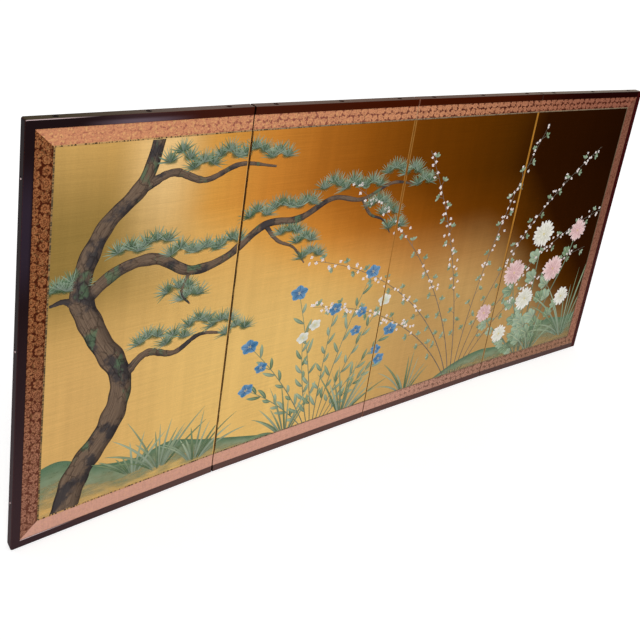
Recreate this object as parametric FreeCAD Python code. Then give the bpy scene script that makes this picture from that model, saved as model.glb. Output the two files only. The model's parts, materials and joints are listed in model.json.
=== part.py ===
import FreeCAD, Part
import math
import os

# A low, wide folding screen that carries one continuous painting across its panels.
# Millimetres. X runs along the screen, from left to right as seen from the painted side.
# Y runs from the painted side to the back, and Z is up.
# The origin is on the floor, in the middle of the box round the standing screen.
# Every piece is first made on the screen laid out flat, with its left end at X = 0 and
# its frame's front face at Y = 0. Each panel is then turned about its folds.

# Panels and folds
panel_width = 457.0
panel_height = 914.0
fold_gap = 3.0
fold_angles = (1.9, 0.8, 1.45)    # degrees that each fold stands closed towards the painting
fold_axis_clearance = 0.15        # from the frame's face out to the line it folds about

# Lacquered frame round the whole screen
rail_width = 18.0
rail_depth = 24.0
rail_arris = 2.5
rail_inner_arris = 0.8
rail_end_ease = 0.5
frame_corner_radius = 4.0
frame_proud = 1.5                 # how far the frame stands out from the faces of a panel

# Cut nails that hold the frame to the core, in sunk holes
nail_places_shares = (0.12, 0.5, 0.88)
nail_shank_width = 2.4
nail_tip_width = 0.5
nail_point_length = 4.0
nail_head_diameter = 6.4
nail_head_thickness = 1.2
nail_grip = 15.0                  # how far a nail goes into the core
nail_hole_clearance = 0.1
nail_sink_diameter = 8.0
nail_sink_depth = 3.0
nail_facets = 7                   # sides of a head and of its sunk hole

# Layers on both faces of the core
paper_thickness = 0.6
silk_thickness = 0.6
border_width = 32.5
edging_width = 3.0
edging_thickness = 0.4

# Wooden core
core_stile_width = 30.0
core_rail_width = 32.0
core_tenon_length = 18.0
core_tenon_thickness = 6.0
core_tenon_shoulder = 5.0
lattice_upright_count = 4
lattice_crossbar_count = 5
lattice_bar_width = 14.0
stub_tenon_length = 6.0
stub_tenon_thickness = 6.0
joint_clearance = 0.1

# Paper hinges, in bands that cross the gap from opposite faces by turns
hinge_band_count = 7
hinge_band_gap = 0.4
hinge_flap_width = 26.0
hinge_paper_thickness = paper_thickness
hinge_lip_gap = 0.4               # between the two lips that meet under the fold line

overrun = 5.0                     # how far a cutting shape runs past what it cuts
touch = 1e-5                      # two measures that differ by less are the same

panel_count = len(fold_angles) + 1
last_panel = panel_count - 1
panel_pitch = panel_width + fold_gap
screen_length = panel_count * panel_pitch - fold_gap
body_front = frame_proud
body_back = rail_depth - frame_proud
paper_front = body_front + silk_thickness
paper_back = body_back - silk_thickness
core_front = paper_front + paper_thickness
core_back = paper_back - paper_thickness
core_middle = (core_front + core_back) / 2
body_foot = rail_width
body_head = panel_height - rail_width
nail_length = rail_width - nail_sink_depth + nail_head_thickness + nail_grip
Z = FreeCAD.Vector(0, 0, 1)


def block(x_low, x_high, y_low, y_high, z_low, z_high):
    """A box between two corners."""
    corner = FreeCAD.Vector(x_low, y_low, z_low)
    return Part.makeBox(x_high - x_low, y_high - y_low, z_high - z_low, corner)


def upright_prism(outline, y_low, y_high):
    """A flat outline of (x, z) points, thickened from one depth to another."""
    points = [FreeCAD.Vector(x, y_low, z) for x, z in outline]
    face = Part.Face(Part.makePolygon(points + points[:1]))
    return face.extrude(FreeCAD.Vector(0, y_high - y_low, 0))


def panel_left(panel):
    return panel * panel_pitch


def panel_right(panel):
    return panel_left(panel) + panel_width


def body_left(panel):
    """Where the papered body starts: beside the end stile on the first panel."""
    return panel_left(panel) + (rail_width if panel == 0 else 0)


def body_right(panel):
    """Where the papered body stops: beside the end stile on the last panel."""
    return panel_right(panel) - (rail_width if panel == last_panel else 0)


def field_left(panel):
    """Where the painted field starts: beside the brocade on the first panel."""
    return body_left(panel) + (border_width if panel == 0 else 0)


def field_right(panel):
    """Where the painted field stops: beside the brocade on the last panel."""
    return body_right(panel) - (border_width if panel == last_panel else 0)


def mitred_strip(panel, side, outer_inset, width):
    """The (x, z) outline of one strip of a border that runs round the whole screen.
    It is mitred at the screen's corners and cut square at a fold."""
    inner_inset = outer_inset + width
    outer_foot, inner_foot = outer_inset, inner_inset
    outer_head, inner_head = panel_height - outer_inset, panel_height - inner_inset
    outer_left = panel_left(panel) + (outer_inset if panel == 0 else 0)
    inner_left = panel_left(panel) + (inner_inset if panel == 0 else 0)
    outer_right = panel_right(panel) - (outer_inset if panel == last_panel else 0)
    inner_right = panel_right(panel) - (inner_inset if panel == last_panel else 0)
    corners = {
        "top_left": ((outer_left, outer_head), (inner_left, inner_head)),
        "top_right": ((outer_right, outer_head), (inner_right, inner_head)),
        "foot_left": ((outer_left, outer_foot), (inner_left, inner_foot)),
        "foot_right": ((outer_right, outer_foot), (inner_right, inner_foot)),
    }
    first, second = {
        "top": ("top_left", "top_right"),
        "bottom": ("foot_left", "foot_right"),
        "left": ("foot_left", "top_left"),
        "right": ("foot_right", "top_right"),
    }[side]
    return [corners[first][0], corners[first][1], corners[second][1], corners[second][0]]


def strip_sides(panel):
    """The sides of a panel that have a frame piece and a border."""
    sides = ["top", "bottom"]
    if panel == 0:
        sides.append("left")
    if panel == last_panel:
        sides.append("right")
    return sides


def edges_along(shape, test):
    """The edges of a shape whose two ends and middle all pass a test."""
    found = []
    for edge in shape.Edges:
        middle = edge.valueAt((edge.FirstParameter + edge.LastParameter) / 2)
        if all(test(point) for point in [v.Point for v in edge.Vertexes] + [middle]):
            found.append(edge)
    return found


def same(a, b):
    return abs(a - b) < touch


def between(low, value, high):
    return low - touch < value < high + touch


def frame_ring():
    """The lacquered moulding as one ring round the screen, before it is sawn into lengths."""
    ring = block(0, screen_length, 0, rail_depth, 0, panel_height)
    ring = ring.makeFillet(frame_corner_radius, edges_along(ring, on_outer_corner))
    faces = [edge for edge in ring.Edges if lies_in_depth(edge, 0) or lies_in_depth(edge, rail_depth)]
    ring = ring.makeFillet(rail_arris, faces)
    window = block(rail_width, screen_length - rail_width, -overrun, rail_depth + overrun,
                   rail_width, body_head)
    ring = ring.cut(window)
    return ring.makeChamfer(rail_inner_arris, edges_along(ring, on_window_rim))


def on_outer_corner(point):
    """On one of the four corners of the screen, seen from the front."""
    at_end = same(point.x, 0) or same(point.x, screen_length)
    return at_end and (same(point.z, 0) or same(point.z, panel_height))


def lies_in_depth(edge, depth):
    return all(same(vertex.Y, depth) for vertex in edge.Vertexes)


def on_window_rim(point):
    """On the front or back rim of the frame's window."""
    inside_x = between(rail_width, point.x, screen_length - rail_width)
    inside_z = between(rail_width, point.z, body_head)
    on_side = same(point.x, rail_width) or same(point.x, screen_length - rail_width)
    on_bar = same(point.z, rail_width) or same(point.z, body_head)
    in_face = same(point.y, 0) or same(point.y, rail_depth)
    return in_face and ((on_side and inside_z) or (on_bar and inside_x))


def nail_spots(panel, side):
    """The heads of the nails in one frame piece, as points on its outer face and the
    direction that the nails point in."""
    depth = rail_depth / 2
    if side in ("top", "bottom"):
        height = panel_height if side == "top" else 0
        places = [panel_left(panel) + share * panel_width for share in nail_places_shares]
        inward = FreeCAD.Vector(0, 0, -1 if side == "top" else 1)
        return [(FreeCAD.Vector(x, depth, height), inward) for x in places]
    x = 0 if side == "left" else screen_length
    inward = FreeCAD.Vector(1 if side == "left" else -1, 0, 0)
    return [(FreeCAD.Vector(x, depth, share * panel_height), inward) for share in nail_places_shares]


def facetted_wire(sides, across, along):
    """A regular outline round Z, at a distance along Z, that measures a width across."""
    turn = 2 * math.pi / sides
    radius = across / 2 / math.cos(turn / 2)
    points = [FreeCAD.Vector(radius * math.cos(turn * (i + 0.5)), radius * math.sin(turn * (i + 0.5)), along)
              for i in range(sides + 1)]
    return Part.makePolygon(points)


def facetted_bar(sides, sections):
    """A straight-sided bar along Z through sections of (width across, distance along)."""
    wires = [facetted_wire(sides, across, along) for across, along in sections]
    return Part.makeLoft(wires, True, True)


def driven_in(shape, spot, inward):
    """A shape made along Z from a frame piece's outer face, turned to point into it."""
    shape.Placement = FreeCAD.Placement(spot, FreeCAD.Rotation(Z, inward))
    return shape


def nail(spot, inward):
    """One cut nail in its sunk hole: facetted head, square shank and tapered point."""
    top = nail_sink_depth - nail_head_thickness
    point = top + nail_length - nail_point_length
    head = facetted_bar(nail_facets, [(nail_head_diameter, top), (nail_head_diameter, nail_sink_depth)])
    shank = facetted_bar(4, [(nail_shank_width, nail_sink_depth), (nail_shank_width, point),
                             (nail_tip_width, top + nail_length)])
    return driven_in(head.fuse(shank), spot, inward)


def nail_holes(spot, inward):
    """The sunk hole for a nail's head and the bore for its shank."""
    bore_width = nail_shank_width + 2 * nail_hole_clearance
    bore_end = nail_sink_depth - nail_head_thickness + nail_length + nail_hole_clearance
    sink = facetted_bar(nail_facets, [(nail_sink_diameter, 0), (nail_sink_diameter, nail_sink_depth)])
    bore = facetted_bar(4, [(bore_width, nail_sink_depth), (bore_width, bore_end)])
    return driven_in(sink.fuse(bore), spot, inward)


def frame_piece(ring, panel, side):
    """One length of the moulding: mitred at the screen's corners, eased at a fold."""
    wedge = upright_prism(mitred_strip(panel, side, 0, rail_width), -overrun, rail_depth + overrun)
    piece = ring.common(wedge)
    if side in ("top", "bottom"):
        ends = []
        if panel > 0:
            ends += edges_along(piece, lambda point: same(point.x, panel_left(panel)))
        if panel < last_panel:
            ends += edges_along(piece, lambda point: same(point.x, panel_right(panel)))
        piece = piece.makeChamfer(rail_end_ease, ends)
    for spot, inward in nail_spots(panel, side):
        piece = piece.cut(nail_holes(spot, inward))
    return piece


def frame_nails(panel):
    return [nail(*spot) for side in strip_sides(panel) for spot in nail_spots(panel, side)]


def panel_nail_holes(panel):
    """The holes of every nail that is driven into one panel's core."""
    return [nail_holes(*spot) for side in strip_sides(panel) for spot in nail_spots(panel, side)]


def core_inner(panel):
    """The clear opening inside the core's own frame: left, right, foot and head."""
    return (body_left(panel) + core_stile_width, body_right(panel) - core_stile_width,
            body_foot + core_rail_width, body_head - core_rail_width)


def core_tenons(panel, clearance):
    """The four tenons on the ends of the core's rails, or with a clearance their mortises."""
    left, right, foot, head = core_inner(panel)
    half = core_tenon_thickness / 2 + clearance
    reach = core_tenon_length + clearance
    tenons = []
    for low in (body_foot, head):
        z_low = low + core_tenon_shoulder - clearance
        z_high = low + core_rail_width - core_tenon_shoulder + clearance
        for x_low, x_high in ((left - reach, left), (right, right + reach)):
            tenons.append(block(x_low, x_high, core_middle - half, core_middle + half, z_low, z_high))
    return tenons


def upright_centres(panel):
    left, right, _, _ = core_inner(panel)
    step = (right - left) / (lattice_upright_count + 1)
    return [left + step * (i + 1) for i in range(lattice_upright_count)]


def crossbar_centres(panel):
    _, _, foot, head = core_inner(panel)
    step = (head - foot) / (lattice_crossbar_count + 1)
    return [foot + step * (i + 1) for i in range(lattice_crossbar_count)]


def stub_tenons(panel, upright, centre, clearance):
    """The two stub tenons of one lattice bar, or with a clearance their mortises."""
    left, right, foot, head = core_inner(panel)
    half_width = lattice_bar_width / 2 + clearance
    half_depth = stub_tenon_thickness / 2 + clearance
    reach = stub_tenon_length + clearance
    y_low, y_high = core_middle - half_depth, core_middle + half_depth
    stubs = []
    if upright:
        for z_low, z_high in ((foot - reach, foot), (head, head + reach)):
            stubs.append(block(centre - half_width, centre + half_width, y_low, y_high, z_low, z_high))
    else:
        for x_low, x_high in ((left - reach, left), (right, right + reach)):
            stubs.append(block(x_low, x_high, y_low, y_high, centre - half_width, centre + half_width))
    return stubs


def lap_notch(x_centre, z_centre, front_half, across_x):
    """The halving where an upright and a crossbar pass: a notch through half the depth."""
    half = lattice_bar_width / 2
    fit = half + joint_clearance
    past = half + overrun
    y_low, y_high = (core_front - overrun, core_middle) if front_half else (core_middle, core_back + overrun)
    half_x, half_z = (past, fit) if across_x else (fit, past)
    return block(x_centre - half_x, x_centre + half_x, y_low, y_high, z_centre - half_z, z_centre + half_z)


def lattice_bars(panel, upright):
    """The uprights or the crossbars of the lattice. The halvings change face by turns,
    so that each bar goes over one bar and under the next."""
    left, right, foot, head = core_inner(panel)
    half = lattice_bar_width / 2
    along, across = upright_centres(panel), crossbar_centres(panel)
    if not upright:
        along, across = across, along
    bars = []
    for i, centre in enumerate(along):
        if upright:
            bar = block(centre - half, centre + half, core_front, core_back, foot, head)
            notches = [lap_notch(centre, z, (i + j) % 2 == 0, True) for j, z in enumerate(across)]
        else:
            bar = block(left, right, core_front, core_back, centre - half, centre + half)
            notches = [lap_notch(x, centre, (i + j) % 2 == 1, False) for j, x in enumerate(across)]
        bars.append(bar.cut(notches).fuse(stub_tenons(panel, upright, centre, 0)))
    return bars


def core_stiles(panel):
    """The two uprights of the core's frame, mortised for the rails and the crossbars."""
    holes = core_tenons(panel, joint_clearance) + panel_nail_holes(panel)
    for centre in crossbar_centres(panel):
        holes += stub_tenons(panel, False, centre, joint_clearance)
    left, right, _, _ = core_inner(panel)
    stiles = [block(body_left(panel), left, core_front, core_back, body_foot, body_head),
              block(right, body_right(panel), core_front, core_back, body_foot, body_head)]
    return [stile.cut(holes) for stile in stiles]


def core_rails(panel):
    """The head and foot of the core's frame, tenoned into the stiles."""
    left, right, foot, head = core_inner(panel)
    holes = panel_nail_holes(panel)
    for centre in upright_centres(panel):
        holes += stub_tenons(panel, True, centre, joint_clearance)
    tenons = core_tenons(panel, 0)
    rails = []
    for low, high in ((body_foot, foot), (head, body_head)):
        rail = block(left, right, core_front, core_back, low, high)
        own_tenons = [tenon for tenon in tenons if low < tenon.BoundBox.Center.z < high]
        rails.append(rail.fuse(own_tenons).cut(holes))
    return rails


def fold_line(fold):
    """The upright line that a fold turns about, as X and Y on the flat screen. The folds
    close by turns with the painted faces together and with the backs together."""
    x = panel_right(fold) + fold_gap / 2
    closes_on_front = fold % 2 == 0
    return x, (-fold_axis_clearance if closes_on_front else rail_depth + fold_axis_clearance)


def hinge_bands():
    """The foot and head of each hinge band, from the bottom up."""
    height = (body_head - body_foot) / hinge_band_count
    return [(body_foot + i * height + hinge_band_gap / 2, body_foot + (i + 1) * height - hinge_band_gap / 2)
            for i in range(hinge_band_count)]


def face_layer(front):
    """The depths between which a hinge flap lies, under the silk or under the back paper."""
    if front:
        return paper_front, paper_front + hinge_paper_thickness
    return paper_back - hinge_paper_thickness, paper_back


def mirrored_span(edge, inward, low, high):
    """Two distances from a panel's edge, as X. Positive distances go into the panel."""
    ends = edge + inward * low, edge + inward * high
    return min(ends), max(ends)


def hinge_leaf(fold, on_left, wrapped, band):
    """The half of one hinge band that moves with one of the two panels. The plain half is
    a flap on the face that the fold closes on. The wrapped half comes from the gap at that
    face, lines the panel's edge and ends in a flap on the other face."""
    edge = panel_right(fold) if on_left else panel_left(fold + 1)
    inward = -1 if on_left else 1
    closes_on_front = fold % 2 == 0
    lip_reach = -(fold_gap - hinge_lip_gap) / 2
    near_low, near_high = face_layer(closes_on_front)
    far_low, far_high = face_layer(not closes_on_front)
    z_low, z_high = band
    if not wrapped:
        x_low, x_high = mirrored_span(edge, inward, lip_reach, hinge_flap_width)
        return block(x_low, x_high, near_low, near_high, z_low, z_high)
    x_low, x_high = mirrored_span(edge, inward, lip_reach, 0)
    lip = block(x_low, x_high, near_low, near_high, z_low, z_high)
    x_low, x_high = mirrored_span(edge, inward, -hinge_paper_thickness, 0)
    lining = block(x_low, x_high, paper_front, paper_back, z_low, z_high)
    x_low, x_high = mirrored_span(edge, inward, -hinge_paper_thickness, hinge_flap_width)
    flap = block(x_low, x_high, far_low, far_high, z_low, z_high)
    return lip.fuse([lining, flap]).removeSplitter()


def hinge_leaves(fold, on_left):
    """All the halves of one fold's hinge bands that move with one of its two panels."""
    closes_on_front = fold % 2 == 0
    leaves = []
    for i, band in enumerate(hinge_bands()):
        left_is_plain = (i % 2 == 0) == closes_on_front
        leaves.append(hinge_leaf(fold, on_left, left_is_plain != on_left, band))
    return leaves


def underlay_papers(panel):
    """The paper on the front and on the back of the core, cut out where hinge flaps lie."""
    flaps = []
    if panel > 0:
        flaps += hinge_leaves(panel - 1, False)
    if panel < last_panel:
        flaps += hinge_leaves(panel, True)
    sheets = []
    for y_low, y_high in ((paper_front, core_front), (core_back, paper_back)):
        sheet = block(body_left(panel), body_right(panel), y_low, y_high, body_foot, body_head)
        sheets.append(sheet.cut(flaps))
    return sheets


def border_strips(panel, outer_inset, width, y_low, y_high):
    return [upright_prism(mitred_strip(panel, side, outer_inset, width), y_low, y_high)
            for side in strip_sides(panel)]


def painting(panel):
    foot, head = body_foot + border_width, body_head - border_width
    return block(field_left(panel), field_right(panel), body_front, paper_front, foot, head)


def back_paper(panel):
    return block(body_left(panel), body_right(panel), paper_back, body_back, body_foot, body_head)


def make_panel(panel, ring):
    """Every piece of one panel, by name, on the flat screen."""
    name = f"panel_{panel + 1}_"
    pieces = {
        name + "core_stiles": core_stiles(panel),
        name + "core_rails": core_rails(panel),
        name + "lattice_uprights": lattice_bars(panel, True),
        name + "lattice_crossbars": lattice_bars(panel, False),
        name + "underlay_papers": underlay_papers(panel),
        name + "painting": [painting(panel)],
        name + "brocade_border": border_strips(panel, rail_width, border_width, body_front, paper_front),
        name + "edging_strip": border_strips(panel, rail_width + border_width, edging_width,
                                             body_front - edging_thickness, body_front),
        name + "back_paper": [back_paper(panel)],
        name + "top_rail": [frame_piece(ring, panel, "top")],
        name + "bottom_rail": [frame_piece(ring, panel, "bottom")],
        name + "frame_nails": frame_nails(panel),
    }
    if panel == 0:
        pieces["left_end_stile"] = [frame_piece(ring, panel, "left")]
    if panel == last_panel:
        pieces["right_end_stile"] = [frame_piece(ring, panel, "right")]
    if panel < last_panel:
        pieces[f"fold_{panel + 1}_left_leaves"] = hinge_leaves(panel, True)
    if panel > 0:
        pieces[f"fold_{panel}_right_leaves"] = hinge_leaves(panel - 1, False)
    return pieces


def standing_places():
    """How each panel stands: turned about its folds from the flat screen, with the screen
    as a whole turned so that its panels face forwards on average."""
    turned = [sum(fold_angles[:panel]) for panel in range(panel_count)]
    first = FreeCAD.Placement(FreeCAD.Vector(), FreeCAD.Rotation(Z, sum(turned) / panel_count))
    places = [first]
    for fold, angle in enumerate(fold_angles):
        x, y = fold_line(fold)
        turn = FreeCAD.Placement(FreeCAD.Vector(), FreeCAD.Rotation(Z, -angle), FreeCAD.Vector(x, y, 0))
        places.append(places[-1].multiply(turn))
    return places


def main():
    os.makedirs("parts", exist_ok=True)
    ring = frame_ring()
    places = standing_places()
    pieces = {}
    for panel in range(panel_count):
        for name, solids in make_panel(panel, ring).items():
            shape = solids[0] if len(solids) == 1 else Part.makeCompound(solids)
            shape.Placement = places[panel].multiply(shape.Placement)
            pieces[name] = shape
    box = Part.makeCompound(list(pieces.values())).optimalBoundingBox(False, False)
    to_origin = FreeCAD.Vector(-box.Center.x, -box.Center.y, 0)
    for name, shape in pieces.items():
        shape.translate(to_origin)
        shape.exportStep(f"parts/{name}.step")
    for fold in range(panel_count - 1):
        x, y = fold_line(fold)
        line = places[fold].multVec(FreeCAD.Vector(x, y, 0)) + to_origin
        print(f"fold {fold + 1} turns about x {line.x:.4f} y {line.y:.4f}")
    print(f"{len(pieces)} nodes, screen {box.XLength:.2f} x {box.YLength:.2f} x {box.ZLength:.2f}")


main()
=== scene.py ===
import json
import math
import bmesh
import bpy
import numpy as np
from mathutils import Matrix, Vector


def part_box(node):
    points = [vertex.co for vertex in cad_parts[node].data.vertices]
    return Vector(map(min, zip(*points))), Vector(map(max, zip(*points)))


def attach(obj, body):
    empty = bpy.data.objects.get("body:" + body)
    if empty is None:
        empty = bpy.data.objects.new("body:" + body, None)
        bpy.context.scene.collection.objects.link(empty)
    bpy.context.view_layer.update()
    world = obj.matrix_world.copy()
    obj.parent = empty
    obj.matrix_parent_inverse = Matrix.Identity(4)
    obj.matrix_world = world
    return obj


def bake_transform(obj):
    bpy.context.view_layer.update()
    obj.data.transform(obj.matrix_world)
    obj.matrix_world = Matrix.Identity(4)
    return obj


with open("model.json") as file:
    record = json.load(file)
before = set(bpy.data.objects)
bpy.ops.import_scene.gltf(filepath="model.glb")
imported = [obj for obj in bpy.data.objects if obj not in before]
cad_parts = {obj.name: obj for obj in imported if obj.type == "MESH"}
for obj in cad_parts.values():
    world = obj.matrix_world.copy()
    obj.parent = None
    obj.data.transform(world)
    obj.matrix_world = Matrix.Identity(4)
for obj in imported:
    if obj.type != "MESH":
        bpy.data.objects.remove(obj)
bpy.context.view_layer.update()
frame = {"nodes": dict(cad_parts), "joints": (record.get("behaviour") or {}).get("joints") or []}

# A low folding screen of four panels, in metres, in the frame of its packed construction.
# It is put together here from the inside out: core, papers, silk, painting, brocade, frame.
scene = bpy.context.scene
scene.view_settings.view_transform = "Standard"


# The viewpoint: above and to the left of the painted side, near the low end of the screen.
# Its uprights run nearly side by side in the picture, so the frame is shifted down.
def added(name, data):
    """Puts a new object into the scene."""
    piece = bpy.data.objects.new(name, data)
    scene.collection.objects.link(piece)
    return piece


camera_place = (-1.27649, -1.31895, 1.35270)
camera_heading = 39.1979
camera_dip = 16.4150
camera_roll = 9.0193
camera_data = bpy.data.cameras.new("camera")
camera_data.sensor_width = 36.0
camera_data.lens = 43.6647
camera_data.shift_x = -0.0469
camera_data.shift_y = -0.3000
camera_data.clip_end = 100.0
camera = added("camera", camera_data)
camera.matrix_world = (Matrix.Translation(camera_place)
                       @ Matrix.Rotation(math.radians(-camera_heading), 4, "Z")
                       @ Matrix.Rotation(math.radians(90 - camera_dip), 4, "X")
                       @ Matrix.Rotation(math.radians(camera_roll), 4, "Z"))
scene.camera = camera


# The floor and the light: a plain white studio floor under an even white surround, with
# one broad soft lamp from the upper left that gives the floor its shadow.
class Shade:
    """A number, colour or place that changes over a surface. Arithmetic on it adds the
    shader node that works it out."""

    def __init__(self, socket):
        self.socket = socket
        self.tree = socket.id_data

    def worked(self, operation, *others):
        """The result of one of the Math node's operations on it."""
        return shader_step(self.tree, "Math", (self, *others), operation=operation)

    def __add__(self, other):
        return self.worked("ADD", other)

    def __sub__(self, other):
        return self.worked("SUBTRACT", other)

    def __rsub__(self, other):
        return shader_step(self.tree, "Math", (other, self), operation="SUBTRACT")

    def __mul__(self, other):
        return self.worked("MULTIPLY", other)

    def __truediv__(self, other):
        return self.worked("DIVIDE", other)

    def __abs__(self):
        return self.worked("ABSOLUTE")

    __radd__ = __add__
    __rmul__ = __mul__

    def at_least(self, other):
        """The larger of the two."""
        return self.worked("MAXIMUM", other)

    def at_most(self, other):
        """The smaller of the two."""
        return self.worked("MINIMUM", other)

    def eased(self, low, high):
        """0 at or below low, 1 at or above high, and a smooth slope between them."""
        return shader_step(self.tree, "MapRange", (self, low, high, 0.0, 1.0),
                           interpolation_type="SMOOTHSTEP")

    def fading(self, low, high):
        """1 at or below low, 0 at or above high, and a smooth slope between them."""
        return 1.0 - self.eased(low, high)


def shader_step(tree, kind, inputs, output=0, **settings):
    """Adds one shader node, sets or links its inputs, and gives one of its outputs."""
    node = tree.nodes.new("ShaderNode" + kind)
    for name, value in settings.items():
        setattr(node, name, value)
    pairs = inputs.items() if isinstance(inputs, dict) else enumerate(inputs)
    for key, value in pairs:
        socket = node.inputs[key]
        if isinstance(value, Shade):
            tree.links.new(value.socket, socket)
        elif socket.type == "RGBA":
            socket.default_value = (*value[:3], 1.0)
        else:
            socket.default_value = value
    return Shade(node.outputs[output])


def mixed(first, second, share):
    """The first colour where share is 0 and the second where it is 1."""
    tree = next(value.tree for value in (share, first, second) if isinstance(value, Shade))
    return shader_step(tree, "Mix", {0: share, 6: first, 7: second}, output=2, data_type="RGBA")


def brightened(colour, factor):
    """The colour with its brightness multiplied by a factor that changes over the surface."""
    return shader_step(factor.tree, "HueSaturation", {"Value": factor, "Color": colour})


def finish(name, constants, varying, *given):
    """A finish on the Principled shader. constants holds what is the same all over the
    surface, and varying(tree, *given) gives what changes over it. Height is in metres."""
    material = bpy.data.materials.new(name)
    material.use_nodes = True
    tree = material.node_tree
    shader = tree.nodes["Principled BSDF"]
    for socket, value in constants.items():
        shader.inputs[socket].default_value = value
    fields = varying(tree, *given)
    if "Height" in fields:
        bump = shader_step(tree, "Bump", {"Height": fields.pop("Height"), "Distance": 1.0})
        fields["Normal"] = bump
    for socket, value in fields.items():
        tree.links.new(value.socket, shader.inputs[socket])
    return material


def seen(tree):
    """1 for what the camera sees, straight or in a reflection, and 0 for what only lights."""
    rays = tree.nodes.new("ShaderNodeLightPath").outputs
    camera_ray, glossy_ray, glass_ray = (Shade(rays[name]) for name in
                                         ("Is Camera Ray", "Is Glossy Ray", "Is Transmission Ray"))
    return camera_ray.at_least(glossy_ray.at_least(glass_ray))


white_seen = 1.0
surround_strength = 0.48
lamp_strength = 1.75
lamp_spread = 50.0
lamp_turn = (45.0, 0.0, -33.0)
floor_size = 60.0
floor_colour = (0.93, 0.93, 0.93)
floor_lift = 0.31

world = bpy.data.worlds.new("surround")
world.use_nodes = True
scene.world = world
strength = surround_strength + seen(world.node_tree) * (white_seen - surround_strength)
world.node_tree.nodes["Background"].inputs["Color"].default_value = (1.0, 1.0, 1.0, 1.0)
world.node_tree.links.new(strength.socket, world.node_tree.nodes["Background"].inputs["Strength"])

lamp_data = bpy.data.lights.new("soft_lamp", "SUN")
lamp_data.energy = lamp_strength
lamp_data.angle = math.radians(lamp_spread)
lamp = added("soft_lamp", lamp_data)
lamp.rotation_euler = [math.radians(turn) for turn in lamp_turn]

floor_mesh = bpy.data.meshes.new("floor")
floor_half = floor_size / 2
floor_mesh.from_pydata([(-floor_half, -floor_half, 0), (floor_half, -floor_half, 0),
                        (floor_half, floor_half, 0), (-floor_half, floor_half, 0)], [], [(0, 1, 2, 3)])
floor = added("floor", floor_mesh)
floor_mesh.materials.append(finish("floor", {"Roughness": 0.9, "Specular IOR Level": 0.0,
                                             "Base Color": (*floor_colour, 1.0),
                                             "Emission Color": (1.0, 1.0, 1.0, 1.0)},
                                   lambda tree: {"Emission Strength": seen(tree) * floor_lift}))


# The core: each panel is a cedar frame with a lattice of halved bars inside it, all
# planed by hand. Stiles and uprights have their grain upright, rails and crossbars along X.
def effect(name, inputs, outputs, worked_out):
    """A shader effect that several finishes share. inputs maps a name to its default, and
    worked_out(given) gives the outputs from the inputs."""
    group = bpy.data.node_groups.new(name, "ShaderNodeTree")
    kinds = {float: "NodeSocketFloat", tuple: "NodeSocketColor", type(None): "NodeSocketVector"}
    for socket_name, default in inputs.items():
        socket = group.interface.new_socket(socket_name, in_out="INPUT",
                                            socket_type=kinds[type(default)])
        if isinstance(default, tuple):
            socket.default_value = (*default, 1.0)
        elif default is not None:
            socket.default_value = default
    for socket_name in outputs:
        kind = "NodeSocketColor" if socket_name == "Color" else "NodeSocketFloat"
        group.interface.new_socket(socket_name, in_out="OUTPUT", socket_type=kind)
    entry = group.nodes.new("NodeGroupInput")
    leaving = group.nodes.new("NodeGroupOutput")
    results = worked_out({socket.name: Shade(socket) for socket in entry.outputs if socket.name})
    for socket_name, result in results.items():
        group.links.new(result.socket, leaving.inputs[socket_name])
    return group


def placed(tree, group, inputs):
    """Puts a shared effect into a finish and gives its outputs by name."""
    node = tree.nodes.new("ShaderNodeGroup")
    node.node_tree = group
    for name, value in inputs.items():
        if isinstance(value, Shade):
            tree.links.new(value.socket, node.inputs[name])
        elif isinstance(value, tuple):
            node.inputs[name].default_value = (*value, 1.0)
        else:
            node.inputs[name].default_value = value
    return {socket.name: Shade(socket) for socket in node.outputs}


def surface_place(tree):
    """The place on the surface, in metres, in the frame of the whole screen."""
    return shader_step(tree, "TexCoord", {}, output="Object")


def stretched(place, scale):
    """A place multiplied by a scale along each axis."""
    return shader_step(place.tree, "Mapping", {"Vector": place, "Scale": scale})


def parted(place):
    """The X, Y and Z of a place."""
    node = place.tree.nodes.new("ShaderNodeSeparateXYZ")
    place.tree.links.new(place.socket, node.inputs[0])
    return [Shade(output) for output in node.outputs]


def noise(place, scale, detail=2.0, roughness=0.5):
    """Cloudy noise round a middle value of 0.5, with about scale lumps to a metre."""
    return shader_step(place.tree, "TexNoise", {"Vector": place, "Scale": scale, "Detail": detail,
                                                "Roughness": roughness})


grain_relief = 0.00006


def grain(given):
    """Growth rings cut lengthwise: bands 19 mm apart across the grain, bent by slow noise,
    with fine pores stretched forty times along it. The grain runs along the place's Z."""
    place = given["Place"]
    bend = noise(stretched(place, (9.0, 9.0, 1.2)), 1.0, 3.0)
    across, _, _ = parted(place)
    rings = ((across * 330.0 + bend * 26.0).worked("SINE") * 0.5 + 0.5).eased(0.25, 0.95)
    pores = noise(stretched(place, (1500.0, 1500.0, 38.0)), 1.0, 2.0)
    return {"Color": mixed(given["Early wood"], given["Late wood"], rings * 0.55 + pores * 0.45),
            "Height": (pores * 0.6 + rings * 0.4) * grain_relief}


wood_grain = effect("wood_grain", {"Place": None, "Early wood": (0.56, 0.34, 0.19),
                                   "Late wood": (0.36, 0.17, 0.08)}, ("Color", "Height"), grain)


def cedar(tree, upright):
    """Cedar with its grain along Z, or turned so that it runs along X."""
    place = surface_place(tree)
    if not upright:
        place = shader_step(tree, "Mapping", {"Vector": place, "Rotation": (0.0, math.pi / 2, 0.0)})
    cut = placed(tree, wood_grain, {"Place": place})
    return {"Base Color": cut["Color"], "Height": cut["Height"]}


def dress(node, material):
    """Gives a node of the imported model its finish."""
    piece = frame["nodes"][node]
    piece.data.materials.clear()
    piece.data.materials.append(material)


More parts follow.
